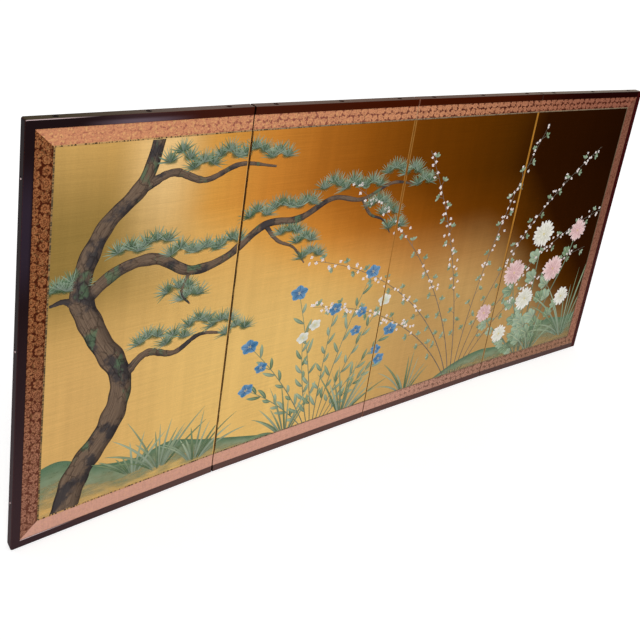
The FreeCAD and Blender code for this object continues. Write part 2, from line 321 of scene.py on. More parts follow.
cedar_upright = finish("cedar_upright", {"Roughness": 0.62}, cedar, True)
cedar_level = finish("cedar_level", {"Roughness": 0.62}, cedar, False)
panel_count = 4
panels = range(panel_count)
for panel in panels:
    dress(f"panel_{panel + 1}_core_stiles", cedar_upright)
    dress(f"panel_{panel + 1}_core_rails", cedar_level)
    dress(f"panel_{panel + 1}_lattice_uprights", cedar_upright)
    dress(f"panel_{panel + 1}_lattice_crossbars", cedar_level)


# Papers: sheets of mulberry paper, pasted in layers. The underlay is raw and pale, and the
# back is one toned sheet on each panel, pasted on in rows.
strand_relief = 0.00003
cloud_relief = 0.00005


def fibres(given):
    """Long pale fibres are thin ridges of two noises stretched across each other, over
    slow cloudy thickness. A ridge lies where a noise is near its middle value."""
    place = given["Place"]
    long_way = noise(stretched(place, (260.0, 260.0, 1100.0)), 1.0, 3.0)
    cross_way = noise(stretched(place, (1300.0, 1300.0, 210.0)), 1.0, 3.0)
    strands = abs(long_way - 0.5).fading(0.0, 0.035).at_least(abs(cross_way - 0.5).fading(0.0, 0.03))
    cloud = noise(place, 34.0, 4.0)
    tone = strands * 0.30 + cloud * 0.70
    return {"Color": mixed(given["Deep"], given["Pale"], tone.eased(0.15, 0.8)),
            "Height": strands * strand_relief + cloud * cloud_relief}


paper_fibres = effect("paper_fibres", {"Place": None, "Deep": (0.5, 0.4, 0.3),
                                       "Pale": (0.7, 0.6, 0.5)}, ("Color", "Height"), fibres)


def raw_paper(tree):
    """Undyed sheet, the same all over."""
    sheet = placed(tree, paper_fibres, {"Place": surface_place(tree), "Deep": (0.60, 0.50, 0.35),
                                        "Pale": (0.80, 0.73, 0.58)})
    return {"Base Color": sheet["Color"], "Height": sheet["Height"]}


underlay_finish = finish("raw_mulberry_paper", {"Roughness": 0.85}, raw_paper)
for panel in panels:
    dress(f"panel_{panel + 1}_underlay_papers", underlay_finish)


# How the panels stand. The open screen is one straight strip with its left end at X = 0
# and its face at Y = 0, and each panel is turned from it about its fold lines.
panel_width = 0.457
fold_gap = 0.003
panel_pitch = panel_width + fold_gap
screen_length = panel_count * panel_pitch - fold_gap
screen_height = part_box("left_end_stile")[1].z
rail_width = 0.018
rail_depth = 0.024
frame_proud = 0.0015
axis_clearance = 0.00015
fold_lines = [np.array(joint["pos_m"][:2]) for joint in frame["joints"]]
fold_angles = [abs(180.0 - joint["range_deg"][1]) for joint in frame["joints"]]
turned = np.cumsum([0.0] + fold_angles)
headings = np.radians(turned.mean() - turned)


def fold_on_strip(fold):
    """Where a fold line, counted from 0, crosses the open strip."""
    closes_on_front = fold % 2 == 0
    depth = -axis_clearance if closes_on_front else rail_depth + axis_clearance
    return np.array([(fold + 1) * panel_pitch - fold_gap / 2, depth])


def turn_matrix(panel):
    """Turns a direction on the open strip to that panel's heading."""
    cosine, sine = math.cos(headings[panel]), math.sin(headings[panel])
    return np.array([[cosine, -sine], [sine, cosine]])


def strip_shift(panel):
    """What to add to a panel's place, once it is turned back, to lay it on the open strip."""
    fold = max(panel - 1, 0)
    return fold_on_strip(fold) - turn_matrix(panel).T @ fold_lines[fold]


def standing(points, panel):
    """Points of the open strip, moved to where that panel stands."""
    moved = np.array(points, float)
    moved[:, :2] = (moved[:, :2] - strip_shift(panel)) @ turn_matrix(panel).T
    return moved


def strip_place(tree, panel):
    """The place on the open strip, for a pattern that runs on from panel to panel."""
    return shader_step(tree, "Mapping", {"Vector": surface_place(tree),
                                         "Rotation": (0.0, 0.0, -headings[panel]),
                                         "Location": (*strip_shift(panel), 0.0)})


back_sheet_height = 0.27
lap_edge = (0.012, 0.016)    # as shares of a sheet's height
lap_colour = (0.17, 0.10, 0.055)
lap_relief = 0.0001


def back_paper(tree, panel):
    """Toned paper, pasted in rows whose edges overlap by a few millimetres."""
    place = strip_place(tree, panel)
    _, _, height = parted(place)
    sheet = placed(tree, paper_fibres, {"Place": place, "Deep": (0.19, 0.115, 0.060),
                                        "Pale": (0.33, 0.22, 0.125)})
    lap = (height / back_sheet_height).worked("FRACT").fading(*lap_edge)
    return {"Base Color": mixed(sheet["Color"], lap_colour, lap * 0.45),
            "Height": sheet["Height"] + lap * lap_relief}


def dress_panels(node, finish_name, constants, varying):
    """Gives that node of each panel a finish whose pattern runs on from panel to panel."""
    for panel in panels:
        dress(f"panel_{panel + 1}_{node}",
              finish(f"{finish_name}_{panel + 1}", constants, varying, panel))


dress_panels("back_paper", "back_paper", {"Roughness": 0.8}, back_paper)


# The gold silk: fine plain-woven silk, coated with gold size and gold dust, one piece on each
# panel. Painted light and shade make its gold bright and tawny below and deepen it to umber
# towards the upper right.
border_width = 0.0325
picture_left = rail_width + border_width
picture_length = screen_length - 2 * picture_left
picture_foot = rail_width + border_width
picture_height = screen_height - 2 * picture_foot
picture_top = picture_foot + picture_height
threads_per_metre = 2400.0
thread_relief = 0.00004
slub_relief = 0.00003
gold_dust_relief = 0.00002
# Painted light and shade: the falloff over the upper half, the pale lower half, the olive patch and the
# bright streak stand for how light falls on the gold.
painted_falloff_gold = (    # over the upper half, from the left end on
    (0.0, (0.640, 0.385, 0.120)), (0.13, (0.690, 0.385, 0.105)), (0.20, (0.660, 0.305, 0.056)),
    (0.27, (0.560, 0.212, 0.031)), (0.34, (0.400, 0.133, 0.015)), (0.42, (0.280, 0.083, 0.006)),
    (0.52, (0.152, 0.042, 0.002)), (0.62, (0.110, 0.0300, 0.0009)), (0.72, (0.070, 0.0200, 0.0006)),
    (0.79, (0.0240, 0.0056, 0.0003)), (1.0, (0.0135, 0.0030, 0.0002)))
pale_gold = (0.640, 0.385, 0.130)
pale_gold_along = (    # over the lower half: where it passes into the next colour, as shares
    ((0.745, 0.480, 0.158), (0.02, 0.22)), ((0.500, 0.298, 0.106), (0.32, 0.60)),
    ((0.420, 0.262, 0.104), (0.65, 0.95)))
painted_shade_olive = (0.250, 0.160, 0.040)
painted_highlight_gold = (0.88, 0.60, 0.27)
# Painted highlights on the silk beside the folds.
painted_fold_highlights = (    # the fold, its panels, the colour, its reach, how high it starts, its strength
    (3, (2,), (0.46, 0.215, 0.030), 0.0068, 0.22, 0.8),
    (2, (1, 2), (0.50, 0.255, 0.060), 0.0052, 0.50, 0.6))


def weave(given):
    """Plain weave: warp and weft are two crossed waves, each uneven along its threads."""
    along, _, height = parted(given["Place"])
    slubs = noise(stretched(given["Place"], (16.0, 16.0, 900.0)), 1.0, 2.0)
    streaks = noise(stretched(given["Place"], (700.0, 700.0, 12.0)), 1.0, 2.0)
    warp = (along * given["Threads"] * math.tau).worked("SINE")
    weft = (height * given["Threads"] * math.tau).worked("SINE")
    cloth = (warp * weft) * 0.25 + 0.5
    return {"Tone": slubs * 0.5 + streaks * 0.25 + cloth * 0.25,
            "Height": cloth * thread_relief + slubs * slub_relief}


silk_weave = effect("silk_weave", {"Place": None, "Threads": threads_per_metre},
                    ("Tone", "Height"), weave)


def graded(share, stops):
    """A colour that passes through listed stops as share goes from 0 to 1."""
    node = share.tree.nodes.new("ShaderNodeValToRGB")
    share.tree.links.new(share.socket, node.inputs[0])
    ramp = node.color_ramp
    ramp.interpolation = "LINEAR"
    while len(ramp.elements) < len(stops):
        ramp.elements.new(0.5)
    for element, (position, colour) in zip(ramp.elements, stops):
        element.position = position
        element.color = (*colour, 1.0)
    return Shade(node.outputs[0])


def layered(colour, *layers):
    """A colour with others laid over it by turns, each given with the share that it covers."""
    for over, share in layers:
        colour = mixed(colour, over, share)
    return colour


def gold(given):
    """Painted light and shade: over the upper half the gold deepens along the picture from tawny
    to umber, by the share along less a slip that grows downwards. Over the lower half it is
    pale. The level where it turns pale sinks towards the right end. An olive patch of painted
    shade and a pale streak of painted highlight lie at the left."""
    place = given["Place"]
    along, _, height = parted(place)
    share_along = ((along - picture_left) / picture_length).at_least(0.0)
    share_up = ((height - picture_foot) / picture_height).at_least(0.0)
    cloud = noise(stretched(place, (3.0, 3.0, 5.0)), 1.0, 3.0) - 0.5
    slip = (0.80 - share_up).at_least(0.0) * (0.75 - share_along.eased(0.72, 0.80) * 0.35)
    olive_shade = share_along.fading(0.04, 0.20) * abs(share_up - 0.72).fading(0.05, 0.36)
    highlight_streak = abs(share_along - 0.125).fading(0.0, 0.065) * share_up.eased(0.55, 1.0)
    upper = layered(graded(share_along - slip + cloud * 0.05, painted_falloff_gold),
                    (painted_shade_olive, olive_shade * 0.9), (painted_highlight_gold, highlight_streak * 0.75))
    lower = layered(pale_gold, *((tint, share_along.eased(*change)) for tint, change in pale_gold_along))
    pale_level = 0.515 - share_along * 0.02 - share_along.eased(0.68, 1.00) * 0.42 + cloud * 0.10
    colour = mixed(lower, upper, (share_up - pale_level).eased(-0.17, 0.17))
    cloth = placed(place.tree, silk_weave, {"Place": place})
    dust = noise(place, 420.0, 3.0, 0.7)
    weft_lines = noise(stretched(place, (6.0, 6.0, 520.0)), 1.0, 3.0, 0.6)
    warp_bands = noise(stretched(place, (38.0, 38.0, 2.0)), 1.0, 3.0, 0.6)
    tone = cloth["Tone"] * 0.3 + dust * 0.2 + weft_lines * 0.3 + warp_bands * 0.2
    return {"Color": brightened(colour, 0.84 + tone.eased(0.3, 0.7) * 0.32),
            "Tone": tone, "Height": cloth["Height"] + dust * gold_dust_relief}


gold_ground = effect("gold_ground", {"Place": None}, ("Color", "Tone", "Height"), gold)


def beside_fold(along, fold, reach, full=0.8):
    """1 from the middle of a fold's gap to the full share of the reach, and 0 past the reach."""
    return abs(along - (fold * panel_pitch - fold_gap / 2)).fading(reach * full, reach)


def gold_silk(tree, panel):
    """Beside the second and third folds painted highlights brighten the silk."""
    place = strip_place(tree, panel)
    along, _, height = parted(place)
    ground = placed(tree, gold_ground, {"Place": place})
    fold_highlights = [(tint, beside_fold(along, fold, reach) * height.eased(foot, foot + 0.12) * strength)
            for fold, painted_lit, tint, reach, foot, strength in painted_fold_highlights if panel in painted_lit]
    return {"Base Color": layered(ground["Color"], *fold_highlights),
            "Roughness": 0.58 - ground["Tone"] * 0.2, "Height": ground["Height"]}


dress_panels("painting", "gold_silk", {"Metallic": 0.02, "Specular IOR Level": 0.0},
             gold_silk)


# The turned edges: at a fold the silk goes round the panel's edge over a thin cord of
# twisted paper, which stands a little proud and catches the light. Its colour is painted light:
# painted highlights and painted shade laid over the gold, listed for each bead.
bead_width = 0.0018
bead_crown = 0.00045
bead_stations = 12
silk_face = frame_proud
folds = range(1, panel_count)
# Painted light on the beads: painted highlights on the left beads and on the second fold's right one,
# painted shade on the right beads of the first and third folds.
painted_bead_light = {    # at each fold: the left and right bead's colour, and how far it covers the gold
    1: (((0.74, 0.44, 0.14), 0.48), ((0.014, 0.004, 0.002), 1.30)),
    2: (((0.42, 0.22, 0.06), 0.45), ((0.40, 0.20, 0.05), 0.50)),
    3: (((0.60, 0.27, 0.045), 0.72), ((0.030, 0.010, 0.002), 0.90))}


def tube_faces(count, rings, corners):
    """The faces of closed tubes, which join ring to ring, with a cap on either end."""
    index = np.arange(count * rings * corners).reshape(count, rings, corners)
    after = np.roll(index, -1, axis=2)
    sides = np.stack([index[:, :-1], after[:, :-1], after[:, 1:], index[:, 1:]], axis=-1)
    caps = np.concatenate([index[:, 0, ::-1], index[:, -1]])
    return sides.reshape(-1, 4).tolist() + caps.tolist()


def ribbons(left, right, crown, across=3, level=0.0, shade=0.5, sink=0.00006):
    """Closed ribbons of paint or silk between two edges, on the open strip.

    left and right hold the edges as (ribbon, station, x z). At a share s along and a share t
    across, a point lies at left + t (right - left), and it stands out from the silk by
    level + crown times the root of 4 t (1 - t) sin(pi s). Two more rows carry the edges
    down into the silk, and the ends are capped."""
    left, right = np.asarray(left, float), np.asarray(right, float)
    count, stations = left.shape[:2]
    share_across = np.linspace(0.0, 1.0, across)
    share_along = np.linspace(0.0, 1.0, stations)
    flat = left[:, :, None] + (right - left)[:, :, None] * share_across[:, None]
    arch_across = 4 * share_across * (1 - share_across)
    arch_along = np.sin(np.pi * share_along).clip(0.0)
    lift = level + crown * np.sqrt(np.outer(arch_along, arch_across))[None] + 0 * flat[..., 0]
    rows = np.concatenate([flat, right[:, :, None], left[:, :, None]], axis=2)
    lift = np.concatenate([lift, np.full((count, stations, 2), -sink)], axis=2)
    ring = across + 2
    points = np.stack([rows[..., 0], silk_face - lift, rows[..., 1]], axis=-1).reshape(-1, 3)
    edge_shares = np.concatenate([share_across, [1.0, 0.0]])
    uv = np.empty((count, stations, ring, 2))
    uv[..., 0] = share_along[None, :, None]
    uv[..., 1] = edge_shares[None, None, :]
    tones = np.broadcast_to(np.reshape(shade, (-1, 1, 1)), (count, stations, ring))
    return {"points": points, "faces": tube_faces(count, stations, ring),
            "uv": uv.reshape(-1, 2), "shade": tones.reshape(-1)}


def strip_mesh(name, bundles):
    """One mesh from several bundles of ribbons, with their shares as a UV map."""
    start = np.cumsum([0] + [len(bundle["points"]) for bundle in bundles])
    points = np.concatenate([bundle["points"] for bundle in bundles])
    faces = [[first + corner for corner in face]
             for first, bundle in zip(start.tolist(), bundles) for face in bundle["faces"]]
    mesh = bpy.data.meshes.new(name)
    mesh.from_pydata(points.tolist(), [], faces)
    corners = np.empty(len(mesh.loops), int)
    mesh.loops.foreach_get("vertex_index", corners)
    uv = np.concatenate([bundle["uv"] for bundle in bundles])
    mesh.uv_layers.new(name="along_across").data.foreach_set("uv", uv[corners].ravel())
    shade = np.concatenate([bundle["shade"] for bundle in bundles])
    mesh.attributes.new("shade", "FLOAT", "POINT").data.foreach_set("value", shade)
    return mesh


def kept_inside(mesh, low, high):
    """Cuts a closed mesh of the open strip at the sides of an upright window, from low to
    high in X and Z, and closes what the cuts opened."""
    shape = bmesh.new()
    shape.from_mesh(mesh)
    for axis, limit, way in ((0, low[0], -1), (0, high[0], 1), (2, low[1], -1), (2, high[1], 1)):
        point, way_out = np.zeros(3), np.zeros(3)
        point[axis], way_out[axis] = limit, way
        whole = shape.verts[:] + shape.edges[:] + shape.faces[:]
        bmesh.ops.bisect_plane(shape, geom=whole, plane_co=point, plane_no=way_out, clear_outer=True)
        opened = [edge for edge in shape.edges if edge.is_boundary]
        bmesh.ops.holes_fill(shape, edges=opened, sides=0)
    kept = mesh.copy()
    shape.to_mesh(kept)
    shape.free()
    return kept


def stand_up(name, mesh, panel, material):
    """Puts a mesh of the open strip on its panel, facing outwards."""
    points = np.empty(len(mesh.vertices) * 3)
    mesh.vertices.foreach_get("co", points)
    mesh.vertices.foreach_set("co", standing(points.reshape(-1, 3), panel).ravel())
    mesh.materials.append(material)
    mesh.update()
    piece = added(name, mesh)
    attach(piece, f"panel_{panel + 1}")


def edges_at(fold):
    """The two edges that meet at a fold: the panel, the edge's place along the open strip,
    and the way from there into the panel."""
    return ((fold - 1, fold * panel_pitch - fold_gap, -1), (fold, fold * panel_pitch, 1))


def upright_bead(edge, inward, foot, head):
    """The bead's two edges, from the panel's edge inwards."""
    heights = np.linspace(foot, head, bead_stations)
    near = np.stack([np.full_like(heights, edge), heights], axis=-1)
    far = near + [inward * bead_width, 0.0]
    return (far, near) if inward < 0 else (near, far)


def turned_silk(tree, panel, fold, tint, wear_and_painted_light):
    """The gold of the ground, with the bead's listed painted light laid over it in blotches.
    Past the first fold that painted light fades towards the foot."""
    place = surface_place(tree)
    ground = placed(tree, gold_ground, {"Place": strip_place(tree, panel)})
    _, _, height = parted(place)
    patchy = noise(place, 45.0, 3.0).eased(0.35, 0.60) * 0.5 + 0.5
    if fold > 1:
        patchy = patchy * height.eased(0.30, 0.60)
    painted_light_silk = mixed(ground["Color"], tint, patchy * wear_and_painted_light)
    return {"Base Color": brightened(painted_light_silk, 0.85 + ground["Tone"] * 0.3), "Height": ground["Height"]}


for fold in folds:
    for (panel, edge, inward), (tint, wear_and_painted_light) in zip(edges_at(fold), painted_bead_light[fold]):
        outer, inner = upright_bead(edge, inward, picture_foot, picture_top)
        bead = strip_mesh("bead", [ribbons(outer[None], inner[None], bead_crown, across=7)])
        stand_up(f"panel_{panel + 1}_turned_edge_{fold}", bead, panel,
                 finish(f"turned_silk_{panel + 1}_{fold}", {"Roughness": 0.5, "Specular IOR Level": 0.0},
                        turned_silk, panel, fold, tint, wear_and_painted_light))


# The hinges: seven bands of tough paper at each fold, which line the panels' edges. Where a
# band crosses the gap, a thin strip of it spans the gap, faced with silk. At the second fold the
# silk itself goes round both edges.
hinge_band_count = 7
hinge_band_gap = 0.0004
hinge_layer = 0.0021
strip_thickness = 0.00012
strip_clear = 0.00003
strip_shares = np.linspace(0.06, 0.94, 9)
turned_in_depth = 0.008
# Painted shade in the folds below a level.
painted_shade_level = 0.42
painted_fold_shade = (0.060, 0.022, 0.006)
# Painted light at each gap's mouth: painted shade at the first fold, painted highlights in gold and amber at
# the second and third.
painted_gap_light = {    # at each fold: the colour beside the picture and beside the brocade
    1: ((0.012, 0.003, 0.002), (0.012, 0.003, 0.002)),
    2: ((0.290, 0.125, 0.022), (0.460, 0.270, 0.150)),
    3: ((0.460, 0.185, 0.022), (0.300, 0.110, 0.050))}
silk_lining_fold = 2
silk_lining_clear = 0.00065
silk_lining_thickness = 0.00012
silk_lining_fold_depth = 0.0005


def shaded_below(silk, height):
    """Silk in a fold, darkened by painted shade below a level."""
    return mixed(painted_fold_shade, silk, (height - painted_shade_level).eased(-0.10, 0.10))


def hinge_paper(tree, panel, fold):
    """Paper whose dark colour is painted shade of the gap, faced with silk in the gap's painted light in
    front of the middle of the strips' depth.
    """
    place = strip_place(tree, panel)
    _, depth, height = parted(place)
    sheet = placed(tree, paper_fibres, {"Place": place, "Deep": (0.008, 0.004, 0.003),
                                        "Pale": (0.020, 0.010, 0.006)})
    silk = shaded_below(mixed(*painted_gap_light[fold], height.worked("GREATER_THAN", picture_top)), height)
    silk = brightened(silk, 0.7 + noise(place, 900.0, 2.0) * 0.6)
    behind = depth.worked("GREATER_THAN", hinge_layer - strip_clear - strip_thickness / 2)
    return {"Base Color": mixed(silk, sheet["Color"], behind), "Height": sheet["Height"]}


def closed_mesh(name, points, faces):
    """A closed mesh from rows of points and lists of corners, with its faces turned outwards."""
    mesh = bpy.data.meshes.new(name)
    mesh.from_pydata(points.reshape(-1, 3).tolist(), [], faces)
    shape = bmesh.new()
    shape.from_mesh(mesh)
    bmesh.ops.recalc_face_normals(shape, faces=shape.faces[:])
    shape.to_mesh(mesh)
    shape.free()
    return mesh


def band_strips(fold):
    """A closed strip for each band. At a share t across the gap, a point lies at left +
    t (right - left), where left and right are the same place carried by either panel, on
    two layers a strip's thickness apart."""
    band_height = (screen_height - 2 * rail_width) / hinge_band_count
    feet = rail_width + np.arange(hinge_band_count) * band_height + hinge_band_gap
    heights = np.stack([feet, feet + band_height - 2 * hinge_band_gap], axis=1)
    near, far = hinge_layer - strip_clear - strip_thickness, hinge_layer - strip_clear
    if fold % 2 == 0:
        near, far = rail_depth - near, rail_depth - far
    ring_share = np.concatenate([strip_shares, strip_shares[::-1]])
    points = np.empty((hinge_band_count, 2, len(ring_share), 3))
    points[..., 0] = fold * panel_pitch - fold_gap + ring_share * fold_gap
    points[..., 1] = np.repeat([near, far], len(strip_shares))
    points[..., 2] = heights[:, :, None]
    flat = points.reshape(-1, 3)
    across = np.tile(ring_share, 2 * hinge_band_count)[:, None]
    world = standing(flat, fold - 1) * (1 - across) + standing(flat, fold) * across
    return closed_mesh("band_strips", world, tube_faces(hinge_band_count, 2, len(ring_share)))


for fold in folds:
    for side, panel in (("left", fold - 1), ("right", fold)):
        faced_paper = finish(f"hinge_paper_{fold}_{side}", {"Roughness": 0.8, "Specular IOR Level": 0.1},
                             hinge_paper, panel, fold)
        dress(f"fold_{fold}_{side}_leaves", faced_paper)
    mesh = band_strips(fold)
    mesh.materials.append(faced_paper)
    piece = added(f"fold_{fold}_band_strips", mesh)
    mouth = np.array([(edge, hinge_layer, screen_height / 2) for _, edge, _ in edges_at(fold)])
    tuple(standing(mouth[:1], fold - 1)[0])
    tuple(standing(mouth[1:], fold)[0])
    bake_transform(piece)


def upright_prism(outline, foot, head):
    """A closed upright bar on the open strip, from its outline as (x, depth)."""
    points = np.empty((2, len(outline), 3))
    points[..., :2] = outline
    points[..., 2] = np.array([foot, head])[:, None]
    return closed_mesh("upright_prism", points, tube_faces(1, 2, len(outline)))


def silk_lining(tree, panel, fold):
    """The ground or the brocade goes on round the edge in the gap's painted light, and painted shade darkens
    it into the gap.
    """
    place = strip_place(tree, panel)
    _, depth, height = parted(place)
    ground = placed(tree, gold_ground, {"Place": place})
    beside_picture, beside_brocade = painted_gap_light[fold]
    gilt = mixed(ground["Color"], beside_picture, 0.35 + ground["Tone"] * 0.2)
    silk = mixed(shaded_below(gilt, height), beside_brocade, height.worked("GREATER_THAN", picture_top))
    return {"Base Color": brightened(silk, 1.15 - depth.eased(frame_proud, turned_in_depth) * 0.8),
            "Height": ground["Height"]}


for panel, edge, inward in edges_at(silk_lining_fold):
    hung = edge - inward * silk_lining_clear
    outer = hung - inward * silk_lining_thickness
    turned_at = frame_proud + silk_lining_fold_depth
    outline = [(edge, frame_proud), (outer, frame_proud), (outer, turned_in_depth),
               (hung, turned_in_depth), (hung, turned_at), (edge, turned_at)]
    lining = upright_prism(outline, rail_width, screen_height - rail_width)
    stand_up(f"panel_{panel + 1}_silk_lining", lining, panel,
             finish(f"silk_lining_{panel + 1}", {"Roughness": 0.55, "Specular IOR Level": 0.0},
                    silk_lining, panel, silk_lining_fold))


# The painting: mineral colours and shell white bound with glue and laid on the silk in low relief,
# each stroke a little crowned. An autumn bank with a pine, bellflowers, bush clover and
# chrysanthemums runs on over all four panels and is cut at every fold.
paint_margin = 0.0031
paint_step = 0.00004
grain_and_vein_relief = 0.00004


def pigment(given):
    """Ground mineral colour: base to tip along a stroke, a vein down its middle, side veins
    in a herringbone, darker rims, and coarse grains over cloudy thin places."""
    along, across, _ = parted(given["Stroke"])
    from_middle = abs(across - 0.5)
    colour = mixed(given["Base"], given["Tip"], along.eased(0.05, 0.95))
    cloud = noise(given["Place"], 55.0, 3.0)
    grains = noise(given["Place"], 1500.0, 2.0, 0.8)
    tone = given["Shade"] * 0.5 + cloud * 0.35 + grains * 0.15
    thick, thin = mixed(colour, (0.0, 0.0, 0.0), 0.30), mixed(colour, (1.0, 1.0, 1.0), 0.16)
    vein = from_middle.fading(0.01, 0.07)
    herringbone = abs((along * 9.0 - from_middle * 7.0).worked("FRACT") - 0.5)
    veins = vein.at_least(herringbone.fading(0.03, 0.12) * given["Side veins"])
    colour = layered(mixed(thick, thin, tone.eased(0.2, 0.8)), (given["Line"], veins * given["Vein"]),
                     (given["Rim"], from_middle.eased(0.34, 0.49) * given["Rimmed"]))
    return {"Color": colour, "Height": grains * grain_and_vein_relief
            + vein * given["Vein"] * grain_and_vein_relief}


mineral_pigment = effect("mineral_pigment", {
    "Stroke": None, "Place": None, "Base": (0.2, 0.2, 0.2), "Tip": (0.4, 0.4, 0.4),
    "Line": (0.5, 0.5, 0.5), "Rim": (0.1, 0.1, 0.1), "Vein": 0.5, "Side veins": 0.0, "Rimmed": 0.5,
    "Shade": 0.5}, ("Color", "Height"), pigment)


def stroke_place(tree):
    """The place on a stroke, as shares along and across it."""
    return shader_step(tree, "UVMap", {}, uv_map="along_across")


def stroke_shade(tree):
    """Each stroke's own number, for its tone or its length."""
    return shader_step(tree, "Attribute", {}, output="Fac", attribute_name="shade")


def pigment_finish(name, base, tip, line=(0.0, 0.0, 0.0), rim=(0.0, 0.0, 0.0), vein=0.0, side_veins=0.0,
                   rimmed=0.0):
    """Matt mineral colour for strokes, with its veins and rims as strong as given."""
    def varying(tree):
        laid = placed(tree, mineral_pigment, {
            "Stroke": stroke_place(tree), "Place": surface_place(tree), "Shade": stroke_shade(tree),
            "Base": base, "Tip": tip, "Line": line, "Rim": rim, "Vein": vein, "Side veins": side_veins,
            "Rimmed": rimmed})
        return {"Base Color": laid["Color"], "Height": laid["Height"]}
    return finish(name, {"Roughness": 0.72, "Specular IOR Level": 0.05}, varying)


def paint(name, bundles, material):
    """Lays strokes on the silk. Each panel they reach gets its own share, cut at its edges."""
    mesh = strip_mesh(name, bundles)
    reach = np.concatenate([bundle["points"][:, 0] for bundle in bundles])
    for panel in panels:
        panel_start = panel * panel_pitch + bead_width
        panel_end = panel * panel_pitch + panel_width - bead_width
        low = (max(panel_start, picture_left + paint_margin), picture_foot + paint_margin)
        high = (min(panel_end, picture_left + picture_length - paint_margin), picture_top - paint_margin)
        if reach.max() < low[0] or reach.min() > high[0]:
            continue
        share = kept_inside(mesh, low, high)
        if len(share.polygons):
            stand_up(f"panel_{panel + 1}_{name}", share, panel, material)


def smooth_line(points, count):
    """A Catmull-Rom curve through given points, or through rows of any numbers."""
    knots = np.asarray(points, float)
    knots = np.concatenate([[2 * knots[0] - knots[1]], knots, [2 * knots[-1] - knots[-2]]])
    place = np.linspace(0.0, len(knots) - 3 - 1e-9, count)
    first = place.astype(int)
    share = (place - first)[:, None]
    a, b, c, d = (knots[first + i] for i in range(4))
    return 0.5 * (2 * b + (c - a) * share + (2 * a - 5 * b + 4 * c - d) * share ** 2
                  + (3 * b - a - 3 * c + d) * share ** 3)


def sweep(start, heading, length, curl=0.0, stations=5):
    """Lines that leave their starts at a heading and bend steadily, so that at a share s the
    way is heading + curl s. Gives the points and the ways."""
    start = np.asarray(start, float).reshape(-1, 2)
    share = np.linspace(0.0, 1.0, stations)
    way = np.reshape(heading, (-1, 1)) + np.reshape(curl, (-1, 1)) * share + 0 * start[:, :1]
    step = np.reshape(length, (-1, 1)) / (stations - 1)
    middle_way = (way[:, 1:] + way[:, :-1]) / 2
    moves = np.stack([np.cos(middle_way) * step, np.sin(middle_way) * step], axis=-1)
    line = start[:, None] + np.concatenate([np.zeros((len(moves), 1, 2)), np.cumsum(moves, axis=1)], axis=1)
    return line, way


def taper(stations, base, tip):
    """A width that swells as s^base (1 - s)^tip, with its widest place scaled to 1."""
    share = np.linspace(0.004, 0.996, stations)
    width = share ** base * (1 - share) ** tip
    return width / width.max()


def sideways(way, half_width):
    """Steps to the left of a way, as long as the half width."""
    return np.stack([-np.sin(way), np.cos(way)], axis=-1) * np.asarray(half_width)[..., None]


def stroke(line, way, half_width, crown=0.00012, across=3, level=0, shade=0.5):
    """Ribbons along lines, half_width to each side, on the given layer of paint."""
    side = sideways(way, half_width)
    return ribbons(line + side, line - side, crown, across, level * paint_step, shade)


def brushed(starts, ways, lengths, curls, stations, half_width, swell, **laid):
    """Strokes that sweep away from their starts and swell as the taper with swell's base and
    tip. laid holds how they are laid on: crown, across, level and shade."""
    line, way = sweep(starts, ways, lengths, curls, stations)
    return stroke(line, way, np.reshape(half_width, (-1, 1)) * taper(stations, *swell), **laid)


def along_line(points, half_widths, stations, wobble, seed):
    """One bough through given points, with a given half width at each, made uneven by
    a few sine waves of chance phase."""
    phases = np.random.default_rng(seed).uniform(0, math.tau, 4)
    rows = smooth_line(np.column_stack([points, half_widths]), stations)
    share = np.linspace(0.0, 1.0, stations)
    waves = sum(np.sin(share * math.tau * turns + phase) for turns, phase in zip((3, 7, 12, 19), phases)) / 4
    line, width = rows[:, :2], rows[:, 2] * (1 + wobble * waves)
    step = np.gradient(line, axis=0)
    return line[None], np.arctan2(step[:, 1], step[:, 0])[None], width[None]


# The banks: washes of malachite that fade into the gold towards their feet, dotted with moss.
# They are laid first, under all that grows on them.
bank_crest = (0.085, 0.165, 0.095)
bank_body = (0.190, 0.270, 0.130)
moss_dot = (0.055, 0.105, 0.055)
bank_foot = 0.02
near_bank = [(0.02, 0.164), (0.09, 0.181), (0.17, 0.140), (0.26, 0.122), (0.34, 0.135), (0.43, 0.105),
             (0.53, 0.076), (0.62, 0.051)]
far_bank = [(1.16, 0.050), (1.25, 0.085), (1.35, 0.102), (1.46, 0.096), (1.56, 0.133), (1.66, 0.148),
            (1.74, 0.137), (1.82, 0.164)]


def malachite(tree):
    """Green that is deepest along the crest and thins out downwards, unevenly, to nothing."""
    stroke_at, place = stroke_place(tree), surface_place(tree)
    _, down, _ = parted(stroke_at)
    laid = placed(tree, mineral_pigment, {
        "Stroke": stroke_at, "Place": place, "Shade": stroke_shade(tree), "Base": bank_body,
        "Tip": bank_body, "Line": bank_crest, "Rim": bank_crest, "Vein": 0.0, "Rimmed": 0.0})
    cloud = noise(stretched(place, (26.0, 26.0, 90.0)), 1.0, 4.0)
    dotted = shader_step(tree, "TexVoronoi", {"Vector": place, "Scale": 260.0}, output="Distance")
    moss = dotted.fading(0.20, 0.34) * cloud.eased(0.50, 0.62)
    thin = (down + (cloud - 0.5) * 0.7).eased(0.05, 0.92)
    return {"Base Color": layered(laid["Color"], (bank_crest, down.fading(0.0, 0.30) * 0.85),
                                  (moss_dot, moss * 0.8)),
            "Height": laid["Height"], "Alpha": 0.94 - thin * 0.94}


def bank(crest_points, foot, stations=90):
    """From the crest down to a level foot."""
    crest = smooth_line(crest_points, stations)
    base = np.stack([crest[:, 0], np.full(stations, foot)], axis=-1)
    return ribbons(crest[None], base[None], 0.00012, across=9)


